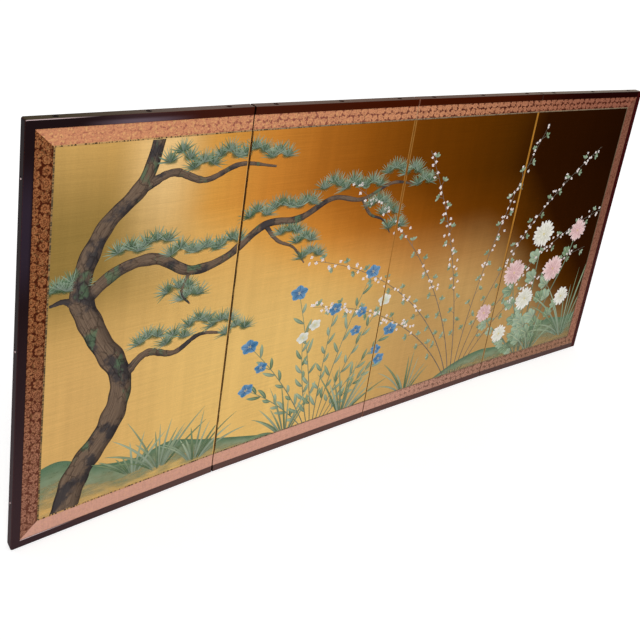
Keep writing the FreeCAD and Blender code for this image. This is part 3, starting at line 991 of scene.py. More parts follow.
malachite_bank = finish("malachite_bank", {"Roughness": 0.75, "Specular IOR Level": 0.0}, malachite)
paint("near_bank", [bank(near_bank, bank_foot)], malachite_bank)
paint("far_bank", [bank(far_bank, bank_foot)], malachite_bank)


# The pine: an old trunk with plated bark, boughs that reach over the first two panels, and
# needles in round fans over a pale wash.
bark_brown, bark_tan = (0.085, 0.054, 0.038), (0.235, 0.165, 0.115)
bark_slate = (0.032, 0.034, 0.042)
bark_moss = (0.110, 0.175, 0.100)
bark_crack = (0.018, 0.013, 0.012)
bark_line = (0.014, 0.011, 0.011)
plate_relief = 0.0001
bark_grain_relief = 0.00004


def flat_place(along, across=0.0):
    """A place on a flat pattern."""
    return shader_step(along.tree, "CombineXYZ", (along, across, 0.0))


def wavering(spot, place, scale, reach):
    """A place on a flat pattern, moved about within a reach by noise over another place."""
    bend = shader_step(spot.tree, "TexNoise", {"Vector": place, "Scale": scale, "Detail": 3.0},
                       output="Color")
    return shader_step(spot.tree, "VectorMath", (bend, (reach, reach, 0.0), spot),
                       operation="MULTIPLY_ADD")


def bark(tree):
    """Thin colour pooled wet in wet: a warm grey brushed along the bough, slate and moss
    that ran into it where slow noises are high, a shaded lower side and faint scales 29 by
    15 mm. A bough's shade number holds its length."""
    place = surface_place(tree)
    along, across, _ = parted(stroke_place(tree))
    length = stroke_shade(tree)
    scales = wavering(flat_place(along * length * 34.0, across * 3.2), place, 45.0, 1.6)
    rim = shader_step(tree, "TexVoronoi", {"Vector": scales, "Scale": 1.0}, output="Distance",
                      feature="DISTANCE_TO_EDGE", voronoi_dimensions="2D")
    brush = noise(flat_place(along * length * 14.0, across * 26.0), 1.0, 4.0, 0.65)
    pool = noise(place, 19.0, 5.0, 0.6)
    damp = noise(stretched(place, (27.0, 27.0, 14.0)), 1.0, 4.0, 0.6)
    grains = noise(place, 1100.0, 2.0, 0.8)
    lower_side = across.eased(0.55, 1.0) * 0.55
    outline = abs(across - 0.5).eased(0.40, 0.49) * (0.35 + brush * 0.6)
    brushed_on = mixed(bark_brown, bark_tan, brush.eased(0.25, 0.75) * 0.75 + grains * 0.25)
    return {"Base Color": layered(brushed_on, (bark_slate, pool.eased(0.47, 0.60) * 0.80),
                                  (bark_moss, damp.eased(0.55, 0.64) * (0.55 + brush * 0.4)),
                                  (bark_crack, rim.fading(0.01, 0.13) * damp.eased(0.35, 0.55) * 0.55),
                                  (bark_line, lower_side.at_least(outline))),
            "Height": rim * plate_relief + grains * bark_grain_relief}


bark_finish = finish("pine_bark", {"Roughness": 0.8, "Specular IOR Level": 0.0}, bark)
pine_boughs = (    # points along the bough, its half width at each, and its layer of paint
    ([(0.098, 0.016), (0.126, 0.131), (0.190, 0.234), (0.208, 0.343), (0.150, 0.458), (0.113, 0.567),
      (0.152, 0.687), (0.228, 0.776), (0.262, 0.916)],
     (0.034, 0.029, 0.026, 0.0245, 0.0235, 0.022, 0.018, 0.015, 0.012), 3),
    ([(0.118, 0.542), (0.192, 0.594), (0.268, 0.602), (0.345, 0.561), (0.430, 0.576), (0.520, 0.638),
      (0.610, 0.641), (0.700, 0.680), (0.790, 0.667), (0.880, 0.700), (0.968, 0.685)],
     (0.016, 0.014, 0.0125, 0.0115, 0.0105, 0.0095, 0.0085, 0.0070, 0.0055, 0.0040, 0.0022), 2),
    ([(0.203, 0.327), (0.258, 0.384), (0.325, 0.368), (0.385, 0.397), (0.455, 0.382)],
     (0.012, 0.009, 0.007, 0.005, 0.0025), 2),
    ([(0.212, 0.752), (0.285, 0.787), (0.360, 0.763), (0.440, 0.789), (0.530, 0.776)],
     (0.011, 0.009, 0.007, 0.0055, 0.0025), 2),
    ([(0.130, 0.496), (0.090, 0.545), (0.055, 0.543)], (0.010, 0.007, 0.003), 2),
    ([(0.520, 0.638), (0.558, 0.594), (0.605, 0.569), (0.642, 0.523)], (0.0060, 0.0045, 0.0032, 0.0018), 1),
    ([(0.790, 0.667), (0.822, 0.623), (0.866, 0.602), (0.898, 0.562)], (0.0050, 0.0040, 0.0028, 0.0016), 1),
    ([(0.345, 0.561), (0.330, 0.512), (0.352, 0.480)], (0.0055, 0.0038, 0.0018), 1),
)
bough_bundles = []
for seed, (points, half_widths, level) in enumerate(pine_boughs):
    line, way, width = along_line(points, half_widths, 16 * len(points), 0.16, seed)
    length = np.linalg.norm(np.diff(line[0], axis=0), axis=1).sum()
    bough_bundles.append(stroke(line, way, width, crown=0.00035, across=7, level=level, shade=length))
paint("pine_boughs", bough_bundles, bark_finish)

pine_pads = np.array([
    (0.205, 0.632), (0.262, 0.643), (0.318, 0.610), (0.380, 0.606), (0.440, 0.613), (0.497, 0.667),
    (0.560, 0.678), (0.625, 0.678), (0.690, 0.714), (0.752, 0.709), (0.815, 0.704), (0.880, 0.735),
    (0.940, 0.724), (0.985, 0.693), (0.262, 0.419), (0.322, 0.403), (0.380, 0.429), (0.436, 0.416),
    (0.474, 0.388), (0.300, 0.818), (0.352, 0.798), (0.412, 0.815), (0.470, 0.815), (0.535, 0.804),
    (0.096, 0.580), (0.066, 0.569), (0.586, 0.610), (0.634, 0.584), (0.656, 0.541), (0.842, 0.652),
    (0.884, 0.623), (0.912, 0.582), (0.352, 0.499), (0.322, 0.523)])
pad_offsets = np.array([(-0.021, -0.005), (0.0, 0.005), (0.021, -0.004)])
needles_in_fan = 15
needle_length = 0.033
needle_half_width = 0.0011
wash_length, wash_above, wash_below = 0.034, 0.022, 0.007
chance = np.random.default_rng(11)
fan_centres = (pine_pads[:, None] + pad_offsets).reshape(-1, 2)
fan_count = len(fan_centres)
fan_centres = fan_centres + chance.normal(0.0, 0.0022, (fan_count, 2))
fan_facing = math.pi / 2 + chance.normal(0.0, 0.16, fan_count) - np.tile((-0.32, 0.0, 0.32), len(pine_pads))
spread = np.linspace(-1.38, 1.38, needles_in_fan)
needle_way = fan_facing[:, None] + spread + chance.normal(0.0, 0.04, (fan_count, needles_in_fan))
needle_way = needle_way.reshape(-1)
needle_start = np.repeat(fan_centres, needles_in_fan, axis=0)
needle_count = len(needle_way)
needle_reach = needle_length * chance.uniform(0.82, 1.08, needle_count)
needle_tone = chance.uniform(0.0, 1.0, needle_count)
needles = brushed(needle_start, needle_way, needle_reach, chance.normal(0.0, 0.12, needle_count), 4,
                  needle_half_width, (0.12, 0.45), crown=0.0002, level=5, shade=needle_tone)
wash_line, _ = sweep(fan_centres - (wash_length / 2, 0.001), 0.0, wash_length, stations=9)
wash_swell = taper(9, 0.5, 0.5)
wash_top = wash_line + np.stack([0 * wash_swell, wash_above * wash_swell], axis=-1)
wash_foot = wash_line - np.stack([0 * wash_swell, wash_below * wash_swell], axis=-1)
washes = ribbons(wash_top, wash_foot, 0.00006, across=5, level=4 * paint_step,
                 shade=chance.uniform(0.2, 0.8, fan_count))


def wash(tree):
    """A thin wash, strongest in the middle and gone at its edges."""
    along, across, _ = parted(stroke_place(tree))
    cloud = noise(surface_place(tree), 90.0, 3.0)
    edge = (along * (1.0 - along) * 4.0) * (across * (1.0 - across) * 4.0)
    return {"Base Color": mixed((0.060, 0.105, 0.050), (0.100, 0.160, 0.080), cloud),
            "Alpha": (edge + (cloud - 0.5) * 0.5).eased(0.05, 0.95) * 0.80}


paint("pine_washes", [washes], finish("pine_wash", {"Roughness": 0.8, "Specular IOR Level": 0.0}, wash))
paint("pine_needles", [needles], pigment_finish("pine_needle", (0.045, 0.090, 0.045), (0.190, 0.310, 0.165)))


# The bellflowers: slender stems with narrow toothless leaves, and five-pointed blue bells, a
# few of them white.
chance = np.random.default_rng(23)
bell_root = (0.742, 0.044)
bell_ways = np.radians((128, 116, 107, 98, 90, 82, 72, 60, 50))
bell_heights = np.array((0.245, 0.345, 0.275, 0.410, 0.330, 0.430, 0.360, 0.295, 0.210))
bell_curls = np.array((0.35, 0.30, -0.20, 0.18, -0.10, -0.25, -0.30, -0.35, -0.30))
bell_stations = 14
bell_leaf_rows = np.arange(2, 12)
bell_petals = 5
bell_flattening = 0.82


def rooted(root, left, right, count):
    """The feet of stems in a level row, from left to right of a root."""
    return np.array(root) + np.column_stack([np.linspace(left, right, count), np.zeros(count)])


def either_side(count):
    """1 and -1 by turns."""
    return np.where(np.arange(count) % 2 == 0, 1.0, -1.0)


bell_feet = rooted(bell_root, -0.035, 0.040, len(bell_ways))
stem_line, stem_way = sweep(bell_feet, bell_ways, bell_heights, bell_curls, bell_stations)
stem_widths = 0.0014 * np.linspace(1.0, 0.55, bell_stations)
leaf_at = stem_line[:, bell_leaf_rows].reshape(-1, 2)
leaf_count = len(leaf_at)
leaf_side = either_side(leaf_count)
leaf_way = stem_way[:, bell_leaf_rows].reshape(-1) + leaf_side * chance.uniform(0.45, 0.85, leaf_count)
leaf_length = chance.uniform(0.026, 0.046, leaf_count)
bell_leaves = brushed(leaf_at, leaf_way, leaf_length, -leaf_side * chance.uniform(0.0, 0.7, leaf_count), 8,
                      0.0046, (0.7, 0.8), across=5, level=2, shade=chance.uniform(0.1, 0.9, leaf_count))
leaf_green = pigment_finish("leaf_green", (0.090, 0.165, 0.085), (0.235, 0.365, 0.215),
                            line=(0.50, 0.52, 0.30), rim=(0.045, 0.085, 0.045), vein=0.75,
                            side_veins=0.25, rimmed=0.55)
stem_green = pigment_finish("stem_green", (0.060, 0.105, 0.045), (0.150, 0.225, 0.105),
                            rim=(0.03, 0.05, 0.03), rimmed=0.3)
paint("bellflower_stems", [stroke(stem_line, stem_way, stem_widths, level=1)], stem_green)
paint("bellflower_leaves", [bell_leaves], leaf_green)


def star_flowers(centres, radii, tilts, level, seed):
    """Broad pointed petals round each centre. The flower is seen a little from below, so it
    is flattened, and it is turned by its tilt."""
    rng = np.random.default_rng(seed)
    reach, tilt = np.repeat(radii, bell_petals), np.repeat(tilts, bell_petals)
    petal = np.tile(np.arange(bell_petals) * math.tau / bell_petals, len(centres)) + math.pi / 2
    line, way = sweep(np.zeros((len(petal), 2)), petal, reach, stations=8)
    side = sideways(way, reach[:, None] * 0.46 * taper(8, 0.55, 0.62))
    cosine, sine = np.cos(tilt), np.sin(tilt)
    turn = np.array([[cosine, -sine], [sine, cosine]]).transpose(2, 0, 1)
    flattened = np.array([1.0, bell_flattening])
    middle = np.repeat(centres, bell_petals, axis=0)[:, None]
    left, right = (np.einsum("nij,nkj->nki", turn, (line + way_side) * flattened) + middle
                   for way_side in (side, -side))
    return ribbons(left, right, 0.0002, across=7, level=level * paint_step,
                   shade=rng.uniform(0.3, 0.7, len(petal)))


def stamens(centres, reach, count, level, seed):
    """Short dabs that spray from each centre, count to a flower."""
    rng = np.random.default_rng(seed)
    ways = (np.arange(count) * math.tau / count + rng.normal(0, 0.12, (len(centres), count))).reshape(-1)
    return brushed(np.repeat(centres, count, axis=0), ways, reach, 0.0, 4, 0.0007, (0.9, 0.3), crown=0.0003,
                   level=level, shade=rng.uniform(0.3, 0.9, len(ways)))


forks = stem_line[[1, 3, 5, 6, 7], 9]
bell_sides = forks + np.array([(-0.030, 0.014), (0.026, 0.020), (0.030, 0.012), (-0.024, 0.022),
                               (0.028, 0.008)])
bell_centres = np.concatenate([stem_line[:, -1], bell_sides])
bell_radii = np.concatenate([(0.0215, 0.024, 0.019, 0.0255, 0.021, 0.024, 0.0225, 0.0235, 0.020),
                             np.full(5, 0.0185)])
bell_tilts = chance.uniform(-0.5, 0.5, len(bell_centres))
white_bells = np.isin(np.arange(len(bell_centres)), (2, 6, 10))
side_reach = bell_sides - forks
side_line, side_way = sweep(forks, np.arctan2(side_reach[:, 1], side_reach[:, 0]),
                            np.linalg.norm(side_reach, axis=1), stations=4)
paint("bellflower_side_stems", [stroke(side_line, side_way, 0.0009, level=1)], stem_green)
azurite = pigment_finish("azurite_petal", (0.026, 0.135, 0.310), (0.034, 0.240, 0.480),
                         line=(0.010, 0.050, 0.165), rim=(0.30, 0.52, 0.72), vein=0.7, side_veins=0.35,
                         rimmed=0.45)
shell_white = pigment_finish("shell_white_petal", (0.62, 0.64, 0.44), (0.88, 0.87, 0.82),
                             line=(0.55, 0.56, 0.45), rim=(0.60, 0.58, 0.50), vein=0.5, side_veins=0.3,
                             rimmed=0.35)
for tint, chosen, seed, petal_finish in (("blue", ~white_bells, 1, azurite),
                                         ("white", white_bells, 2, shell_white)):
    bells = star_flowers(bell_centres[chosen], bell_radii[chosen], bell_tilts[chosen], 6, seed)
    paint(f"{tint}_bellflowers", [bells], petal_finish)
pollen = pigment_finish("pollen_yellow", (0.72, 0.50, 0.10), (0.86, 0.74, 0.34))
paint("bellflower_stamens", [stamens(bell_centres, 0.0050, 5, 9, 3)], pollen)


# The bush clover: long arching stems with leaves in threes and sprays of tiny white flowers,
# each flower four dabs of shell white.
chance = np.random.default_rng(31)
clover_root = (1.245, 0.044)
clover_ways = np.radians((122, 112, 104, 96, 88, 80, 70, 62))
clover_lengths = np.array((0.65, 0.76, 0.83, 0.78, 0.80, 0.85, 0.76, 0.61))
clover_curls = np.array((0.85, 0.95, 0.75, 0.45, -0.40, -0.80, -1.00, -0.90))
clover_stations = 40
clover_feet = rooted(clover_root, -0.03, 0.03, len(clover_ways))
clover_line, clover_way = sweep(clover_feet, clover_ways, clover_lengths, clover_curls, clover_stations)
clover_widths = 0.0015 * np.linspace(1.0, 0.35, clover_stations)
paint("clover_stems", [stroke(clover_line, clover_way, clover_widths, level=1)],
      pigment_finish("clover_stem", (0.060, 0.045, 0.025), (0.110, 0.085, 0.045)))
node_rows = np.arange(7, clover_stations - 1, 2)
node_at = clover_line[:, node_rows].reshape(-1, 2)
node_count = len(node_at)
stalk_lean = either_side(node_count) * chance.uniform(0.5, 1.0, node_count)
stalk_way = clover_way[:, node_rows].reshape(-1) + stalk_lean
stalk_line, stalk_ways = sweep(node_at, stalk_way, chance.uniform(0.010, 0.022, node_count), stations=4)
paint("clover_stalks", [stroke(stalk_line, stalk_ways, 0.0006, level=1)],
      pigment_finish("clover_stalk", (0.070, 0.060, 0.030), (0.110, 0.120, 0.055)))
three_ways = (stalk_ways[:, -1:] + np.array((-0.95, 0.0, 0.95))).reshape(-1)
three_starts = np.repeat(stalk_line[:, -1], 3, axis=0)
three_lengths = chance.uniform(0.010, 0.0155, len(three_ways))
threes = brushed(three_starts, three_ways, three_lengths, chance.normal(0.0, 0.2, len(three_ways)), 7,
                 0.0036, (0.5, 0.5), across=5, level=2, shade=chance.uniform(0.1, 0.9, len(three_ways)))
paint("clover_leaves", [threes], leaf_green)
spray_at = clover_line[:, 16:].reshape(-1, 2)
spray_at = spray_at[chance.uniform(0, 1, len(spray_at)) < 0.72]
florets = np.repeat(spray_at, 2, axis=0) + chance.normal(0.0, 0.0085, (2 * len(spray_at), 2))
floret_turn = chance.uniform(0, math.tau, len(florets))
floret_ways = (floret_turn[:, None] + np.array((0.0, 1.5, 3.1, 4.7))).reshape(-1)
floret_count = len(floret_ways)
sprays = brushed(np.repeat(florets, 4, axis=0), floret_ways, chance.uniform(0.0034, 0.0058, floret_count),
                 0.0, 5, 0.0019, (0.5, 0.4), crown=0.0003, level=4,
                 shade=chance.uniform(0.3, 0.9, floret_count))
paint("clover_florets", [sprays],
      pigment_finish("shell_white_floret", (0.78, 0.60, 0.58), (0.90, 0.88, 0.85)))


# The chrysanthemums: full heads of many narrow petals in rings, pink and white, on stout
# stems with lobed leaves.
chance = np.random.default_rng(47)
flower_heads = (    # the head's middle and radius, and which of the two it is
    ((1.432, 0.351), 0.043, "pink"), ((1.528, 0.467), 0.046, "white"), ((1.612, 0.336), 0.044, "pink"),
    ((1.508, 0.249), 0.039, "white"), ((1.690, 0.458), 0.037, "pink"), ((1.690, 0.223), 0.034, "white"),
    ((1.335, 0.234), 0.030, "pink"), ((1.425, 0.142), 0.030, "white"))
head_root = np.array((1.545, 0.035))
petal_rings = (    # petals in the ring, its share of the head's radius, and how far it is turned
    (24, 1.00, 0.00), (22, 0.80, 0.13), (18, 0.60, 0.05), (14, 0.41, 0.20), (9, 0.25, 0.0))
lobe_turns = np.array((0.0, 0.62, -0.62, 1.15, -1.15))
lobe_lengths = np.array((0.043, 0.035, 0.035, 0.023, 0.023))


def flower_head(centre, radius, level):
    """Rings of petals that shorten inwards and stand higher, each a little curled."""
    bundles = []
    for ring_number, (count, share, offset) in enumerate(petal_rings):
        ways = np.arange(count) * math.tau / count + offset + chance.normal(0.0, 0.035, count)
        reach = radius * share * chance.uniform(0.90, 1.06, count)
        bundles.append(brushed(np.tile(centre, (count, 1)), ways, reach, chance.normal(0.0, 0.18, count), 8,
                               radius * share * 2.5 / count, (0.8, 0.28), crown=0.0002, across=5,
                               level=level + ring_number, shade=chance.uniform(0.2, 0.8, count)))
    return bundles


petal_sets = {"pink": [], "white": []}
head_stems, lobes = [], []
for centre, radius, colour_name in flower_heads:
    petal_sets[colour_name] += flower_head(np.array(centre), radius, 8)
    lean, rise = np.array(centre) - head_root
    stem_points = [head_root + (lean * 0.18, 0.0), head_root + (lean * 0.42, rise * 0.38),
                   head_root + (lean * 0.82, rise * 0.74), centre]
    line, way, width = along_line(stem_points, (0.0026, 0.0024, 0.0021, 0.0018), 24, 0.05, 5)
    head_stems.append(stroke(line, way, width, level=3, across=5))
    for row in (5, 9, 13, 17):
        side = 1 if row % 4 == 1 else -1
        leaf_ways = way[0, row] + side * (1.05 + chance.normal(0.0, 0.15)) + lobe_turns
        leaf_reach = lobe_lengths * chance.uniform(0.85, 1.15) * radius / 0.042
        leaf_foot = line[0, row] + 0.006 * np.array((math.cos(leaf_ways[0]), math.sin(leaf_ways[0])))
        leaf_tone = np.full(len(lobe_turns), chance.uniform(0.1, 0.9))
        lobes.append((np.tile(leaf_foot, (len(lobe_turns), 1)), leaf_ways, leaf_reach, leaf_tone))
lobe_starts, lobe_ways, lobe_reach, lobe_tone = (np.concatenate(parts) for parts in zip(*lobes))
lobe_leaves = brushed(lobe_starts, lobe_ways, lobe_reach, 0.0, 9, lobe_reach * 0.27, (0.75, 0.55), across=5,
                      level=4, shade=lobe_tone)
paint("chrysanthemum_stems", head_stems, stem_green)
paint("chrysanthemum_leaves", [lobe_leaves], leaf_green)
paint("pink_chrysanthemums", petal_sets["pink"],
      pigment_finish("pink_petal", (0.60, 0.245, 0.260), (0.83, 0.575, 0.560), line=(0.66, 0.33, 0.33),
                     rim=(0.88, 0.76, 0.73), vein=0.4, rimmed=0.7))
paint("white_chrysanthemums", petal_sets["white"],
      pigment_finish("white_petal", (0.62, 0.60, 0.36), (0.86, 0.84, 0.78), line=(0.60, 0.57, 0.44),
                     rim=(0.92, 0.91, 0.88), vein=0.4, rimmed=0.6))
head_centres = np.array([centre for centre, _, _ in flower_heads])
paint("chrysanthemum_hearts", [stamens(head_centres, 0.0055, 11, 14, 9)], pollen)


# The grasses: long blades in tufts at the foot of the pine, by the bellflowers and at the
# right end.
chance = np.random.default_rng(59)
tufts = (    # the root, the number of blades, the middle one's heading and its length
    ((0.315, 0.075), 13, 92, 0.150), ((0.405, 0.060), 11, 84, 0.120), ((0.250, 0.085), 8, 100, 0.095),
    ((0.655, 0.040), 11, 104, 0.150), ((0.842, 0.040), 12, 78, 0.165), ((1.060, 0.040), 9, 95, 0.130),
    ((1.735, 0.070), 15, 102, 0.260), ((1.585, 0.050), 9, 88, 0.140))
blades = []
for root, count, middle, reach in tufts:
    ways = np.radians(middle + np.linspace(-38, 38, count) + chance.normal(0.0, 3.0, count))
    lengths = reach * chance.uniform(0.6, 1.15, count)
    curls = (ways - math.radians(90)) * chance.uniform(0.4, 1.2, count)
    starts = rooted(root, 0.016, -0.016, count)
    starts[:, 1] += chance.normal(0, 0.002, count)
    blades.append(brushed(starts, ways, lengths, curls, 12, 0.0030 * chance.uniform(0.7, 1.2, count),
                          (0.35, 0.75), across=5, level=5, shade=chance.uniform(0.0, 1.0, count)))
paint("grass_blades", blades,
      pigment_finish("blade_green", (0.085, 0.150, 0.075), (0.255, 0.345, 0.180), line=(0.42, 0.46, 0.25),
                     rim=(0.05, 0.09, 0.05), vein=0.45, rimmed=0.45))


# The brocade: a silk damask of scalloped flower heads in two rows, cut in strips, with mitred
# corners. The strips along the top and foot lie across the weave of the upright ones. The
# paler level strips are painted sheen, and painted shade darkens the strips towards the right.
repeat_length = 0.0730
repeat_breadth = 0.0345
damask_flowers = (    # middle along and across, half length and half breadth, petals, rings
    (0.0000, 0.0248, 0.0122, 0.0084, 8.0, 2.4), (0.0248, 0.0252, 0.0090, 0.0078, 6.0, 1.4),
    (0.0462, 0.0244, 0.0092, 0.0080, 7.0, 2.0), (0.0602, 0.0280, 0.0044, 0.0046, 4.0, 0.8),
    (0.0030, 0.0074, 0.0074, 0.0068, 5.0, 1.6), (0.0196, 0.0064, 0.0078, 0.0066, 6.0, 1.4),
    (0.0392, 0.0072, 0.0098, 0.0078, 7.0, 2.2), (0.0582, 0.0078, 0.0078, 0.0066, 5.0, 1.4),
    (0.0118, 0.0158, 0.0038, 0.0036, 4.0, 0.8), (0.0560, 0.0168, 0.0046, 0.0038, 4.0, 0.8))
uneven_weave = 0.0056    # how far noise bends the figure
upright_run_start = 3.0    # so that the figure doesn't follow on round the corners
level_strip_shift = 0.0175    # the level strips are cut from another place across the cloth
brocade_threads = 1500.0
flower_relief = 0.00010
woven_line_relief = 0.00004
# Painted light: the level strips carry a paler painted sheen than the upright ones, painted shade darkens
# all of them towards the right, and the glints are painted highlights.
top_pale = ((0.655, 0.285, 0.142), (0.345, 0.128, 0.078))    # at the left and at the right
foot_pale = ((0.620, 0.330, 0.250), (0.400, 0.205, 0.130))
upright_pale = ((0.355, 0.132, 0.050), (0.265, 0.110, 0.070))
upright_pale_foot = (0.400, 0.185, 0.120)
level_deep = ((0.330, 0.105, 0.075), (0.060, 0.011, 0.006))
upright_deep = ((0.062, 0.013, 0.005), (0.110, 0.034, 0.022))    # above and at the foot
painted_glint_gold = (0.82, 0.480, 0.190)


def damask(given):
    """With x and y the distances from a flower's middle in its half length and half breadth,
    r = sqrt(x^2 + y^2) and a the angle, a flower of n petals fills r < 0.84 + 0.24 |cos na/2|.
    Fill is how far inside the nearest flower a place lies, in r. Woven lines lie where
    cos(na) cos(k pi r) is near 0, for k rings."""
    spot = flat_place(given["Along"], given["Across"])
    along, across, _ = parted(wavering(spot, spot, 150.0, uneven_weave))
    filled, lined = along * 0.0 - 1.0, along * 0.0
    for middle_along, middle_across, half_length, half_breadth, petals, ring_count in damask_flowers:
        long_way, short_way = repeat_length / half_length, repeat_breadth / half_breadth
        x = ((along - middle_along) / repeat_length + 0.5).worked("FRACT") * long_way - 0.5 * long_way
        y = ((across - middle_across) / repeat_breadth + 0.5).worked("FRACT") * short_way - 0.5 * short_way
        r = (x * x + y * y).worked("SQRT")
        half_turns = abs((y.worked("ARCTAN2", x) * (petals / 2)).worked("COSINE"))
        inside = half_turns * 0.24 + 0.84 - r
        net = (half_turns * half_turns * 2.0 - 1.0) * (r * (ring_count * math.pi)).worked("COSINE")
        filled = filled.at_least(inside)
        lined = lined + inside.eased(0.0, 0.10) * abs(net).fading(0.10, 0.42)
    return {"Fill": filled, "Lines": lined.at_most(1.0)}


damask_pattern = effect("damask_pattern", {"Along": 0.0, "Across": 0.0}, ("Fill", "Lines"), damask)


def from_edges(along, height, inset):
    """How far a place lies from the nearer end and from the nearer rail, past an inset, and 1
    where it is nearer to the end, on an upright strip. The change lies on the mitre."""
    from_end = (along - inset).at_most((screen_length - inset) - along)
    from_rail = (height - inset).at_most((screen_height - inset) - height)
    return from_end, from_rail, from_rail.worked("GREATER_THAN", from_end)


def by_strip(on_upright, level, upright):
    """One value on the level strips and another on the upright ones."""
    return level + on_upright * (upright - level)


def brocade(tree, panel):
    """The pattern follows each strip. The figure stands out most on the left strip and towards
    the right of the top one, and hardly along the left of the foot."""
    place = strip_place(tree, panel)
    along, _, height = parted(place)
    from_end, from_rail, on_upright = from_edges(along, height, rail_width)
    figure = placed(tree, damask_pattern, {
        "Along": by_strip(on_upright, along, height + upright_run_start),
        "Across": by_strip(on_upright, from_rail + level_strip_shift, from_end)})
    cloth = placed(tree, silk_weave, {"Place": place, "Threads": brocade_threads})
    share_along = (along / screen_length).at_least(0.0)
    at_right = share_along.worked("ROUND")
    to_right = share_along.eased(0.42, 0.66)
    far = share_along.eased(0.45, 0.95)
    at_foot = height.fading(0.05, 0.55)
    upright = layered(upright_pale[0], (upright_pale[1], at_right), (upright_pale_foot, at_foot))
    pale = layered(top_pale[0], (top_pale[1], far), (mixed(*foot_pale, far), at_foot),
                   (upright, on_upright))
    deep = layered(level_deep[0], (level_deep[1], share_along.eased(0.10, 0.70)),
                   (brightened(pale, 0.70 - to_right * 0.42), at_foot),
                   (mixed(*upright_deep, at_foot), on_upright))
    frayed = (noise(place, 260.0, 3.0, 0.6) - 0.5) * 1.5 + 0.02
    shrunk = share_along.eased(0.04, 0.30) * 0.15 + far * 0.06
    flower = by_strip(on_upright, (figure["Fill"] - shrunk + frayed).eased(-0.40, -0.06),
                      (figure["Fill"] + frayed * 0.25).eased(-0.12, 0.04))
    shown = (share_along.eased(0.05, 0.30) * 0.36 + 0.60) * (1.0 - at_foot * (0.75 - to_right * 0.60))
    shown = by_strip(on_upright, shown, 1.0 - at_foot * 0.10 - at_right * 0.75)
    lines_shown = shown * (0.40 + at_foot * to_right * 0.3) + on_upright * 0.42
    fleck_share = 0.34 + on_upright * (0.16 + at_foot * 0.20)
    flecks = noise(place, 270.0, 2.0, 0.7).eased(0.46, 0.64) * fleck_share
    figured = (1.0 - flower) * shown + figure["Lines"] * flower * lines_shown + flecks
    painted_glints = noise(place, 210.0, 1.0).eased(0.54, 0.68) * share_along.fading(0.15, 0.60)
    painted_glints = painted_glints * (1.0 - at_foot * 0.7) * (0.46 - on_upright * 0.34)
    woven = layered(pale, (deep, figured.at_most(1.0)), (painted_glint_gold, painted_glints))
    return {"Base Color": brightened(woven, 0.90 + cloth["Tone"].eased(0.3, 0.7) * 0.22),
            "Roughness": 0.62 - flower * 0.14,
            "Height": cloth["Height"] + flower * flower_relief - figure["Lines"] * woven_line_relief}


dress_panels("brocade_border", "brocade", {"Metallic": 0.04, "Specular IOR Level": 0.0},
             brocade)


# The edging: a narrow woven braid that hides the joint of silk and brocade, with dark worn
# dashes in a gold thread ground.
edging_width = 0.003
twist_length = 0.0011
twist_relief = 0.00006
gold_thread = ((0.47, 0.265, 0.100), (0.62, 0.380, 0.160))    # in the twist's hollows, on its crests
aged_thread = (0.250, 0.180, 0.110)
worn_through = ((0.030, 0.022, 0.018), (0.085, 0.065, 0.038))    # on the level and upright strips


def edging(tree, panel):
    """Slanting threads: sin(tau (2 run + 0.0014 depth) / twist length). Dashes of uneven length
    lie where a noise along the strip is high."""
    place = strip_place(tree, panel)
    along, _, height = parted(place)
    from_end, from_rail, on_upright = from_edges(along, height, picture_left)
    run = by_strip(on_upright, along, height)
    depth = by_strip(on_upright, from_rail, from_end) / edging_width - 0.5
    at = flat_place(run)
    dash = noise(at, 210.0, 1.0) + (noise(at, 46.0, 1.0) - 0.5) * 0.5 - (abs(depth) - 0.2) * 0.12
    dash = (dash + on_upright * 0.03).eased(0.50, 0.545)
    share_along = along / screen_length
    twist = ((run * 2.0 + depth * 0.0014) * (math.tau / twist_length)).worked("SINE") * 0.5 + 0.5
    thread = mixed(mixed(*gold_thread, twist), aged_thread, share_along.eased(0.10, 0.35))
    thread = brightened(thread, 1.0 - on_upright * 0.42)
    strength = dash * (0.95 - share_along.eased(0.1, 0.6) * 0.40)
    return {"Base Color": mixed(thread, mixed(*worn_through, on_upright), strength),
            "Height": twist * twist_relief}


dress_panels("edging_strip", "edging", {"Roughness": 0.6, "Specular IOR Level": 0.0}, edging)


# The frame: moulded rails and end stiles in polished lacquer, near black at the left and
# redder along the rails. Painted reflection and a little dust make the tops paler, and dirt
# has gathered round the nails.
nail_places = tuple(share * panel_width for share in (0.12, 0.5, 0.88))
nail_stain = 0.0066
nail_stain_colour = (0.006, 0.004, 0.003)
# Painted light on the rail ends beside the folds: painted shade at the first, painted highlights at the
# second and third.
painted_rail_end_light = {    # at each fold: how far, the colour and its strength
    1: (0.0027, (0.004, 0.002, 0.001), 0.9), 2: (0.0024, (0.300, 0.130, 0.080), 0.8),
    3: (0.0022, (0.090, 0.045, 0.035), 0.5)}
maroon = (0.0085, 0.0018, 0.0026)
redder_maroon = (0.048, 0.0058, 0.0006)
dark_maroon = (0.0125, 0.0010, 0.0005)
wide_sheen = (0.165, 0.118, 0.150)
# Painted reflection of the floor, strongest towards the foot.
painted_floor_reflection = ((0.048, 0.024, 0.028), (0.125, 0.075, 0.068))    # at the left and past the middle
# A painted reflection on the left stile.
left_stile_violet = (0.052, 0.036, 0.066)
left_stile_edge = (0.012, 0.020)
right_stile_red = (0.046, 0.0042, 0.0046)
right_stile_edge = (screen_length - 0.019, screen_length - 0.017)
worn_arris = (0.13, 0.030, 0.014)
# A painted highlight on the top front arris near the left end.
painted_arris_highlight = (0.66, 0.50, 0.50)
# Painted reflection on the tops, with dust where a fine noise is high.
dust_and_reflection_colours = ((0.070, 0.048, 0.016), (0.215, 0.160, 0.130), (0.34, 0.28, 0.23))    # left to right
ripple_relief = 0.00006


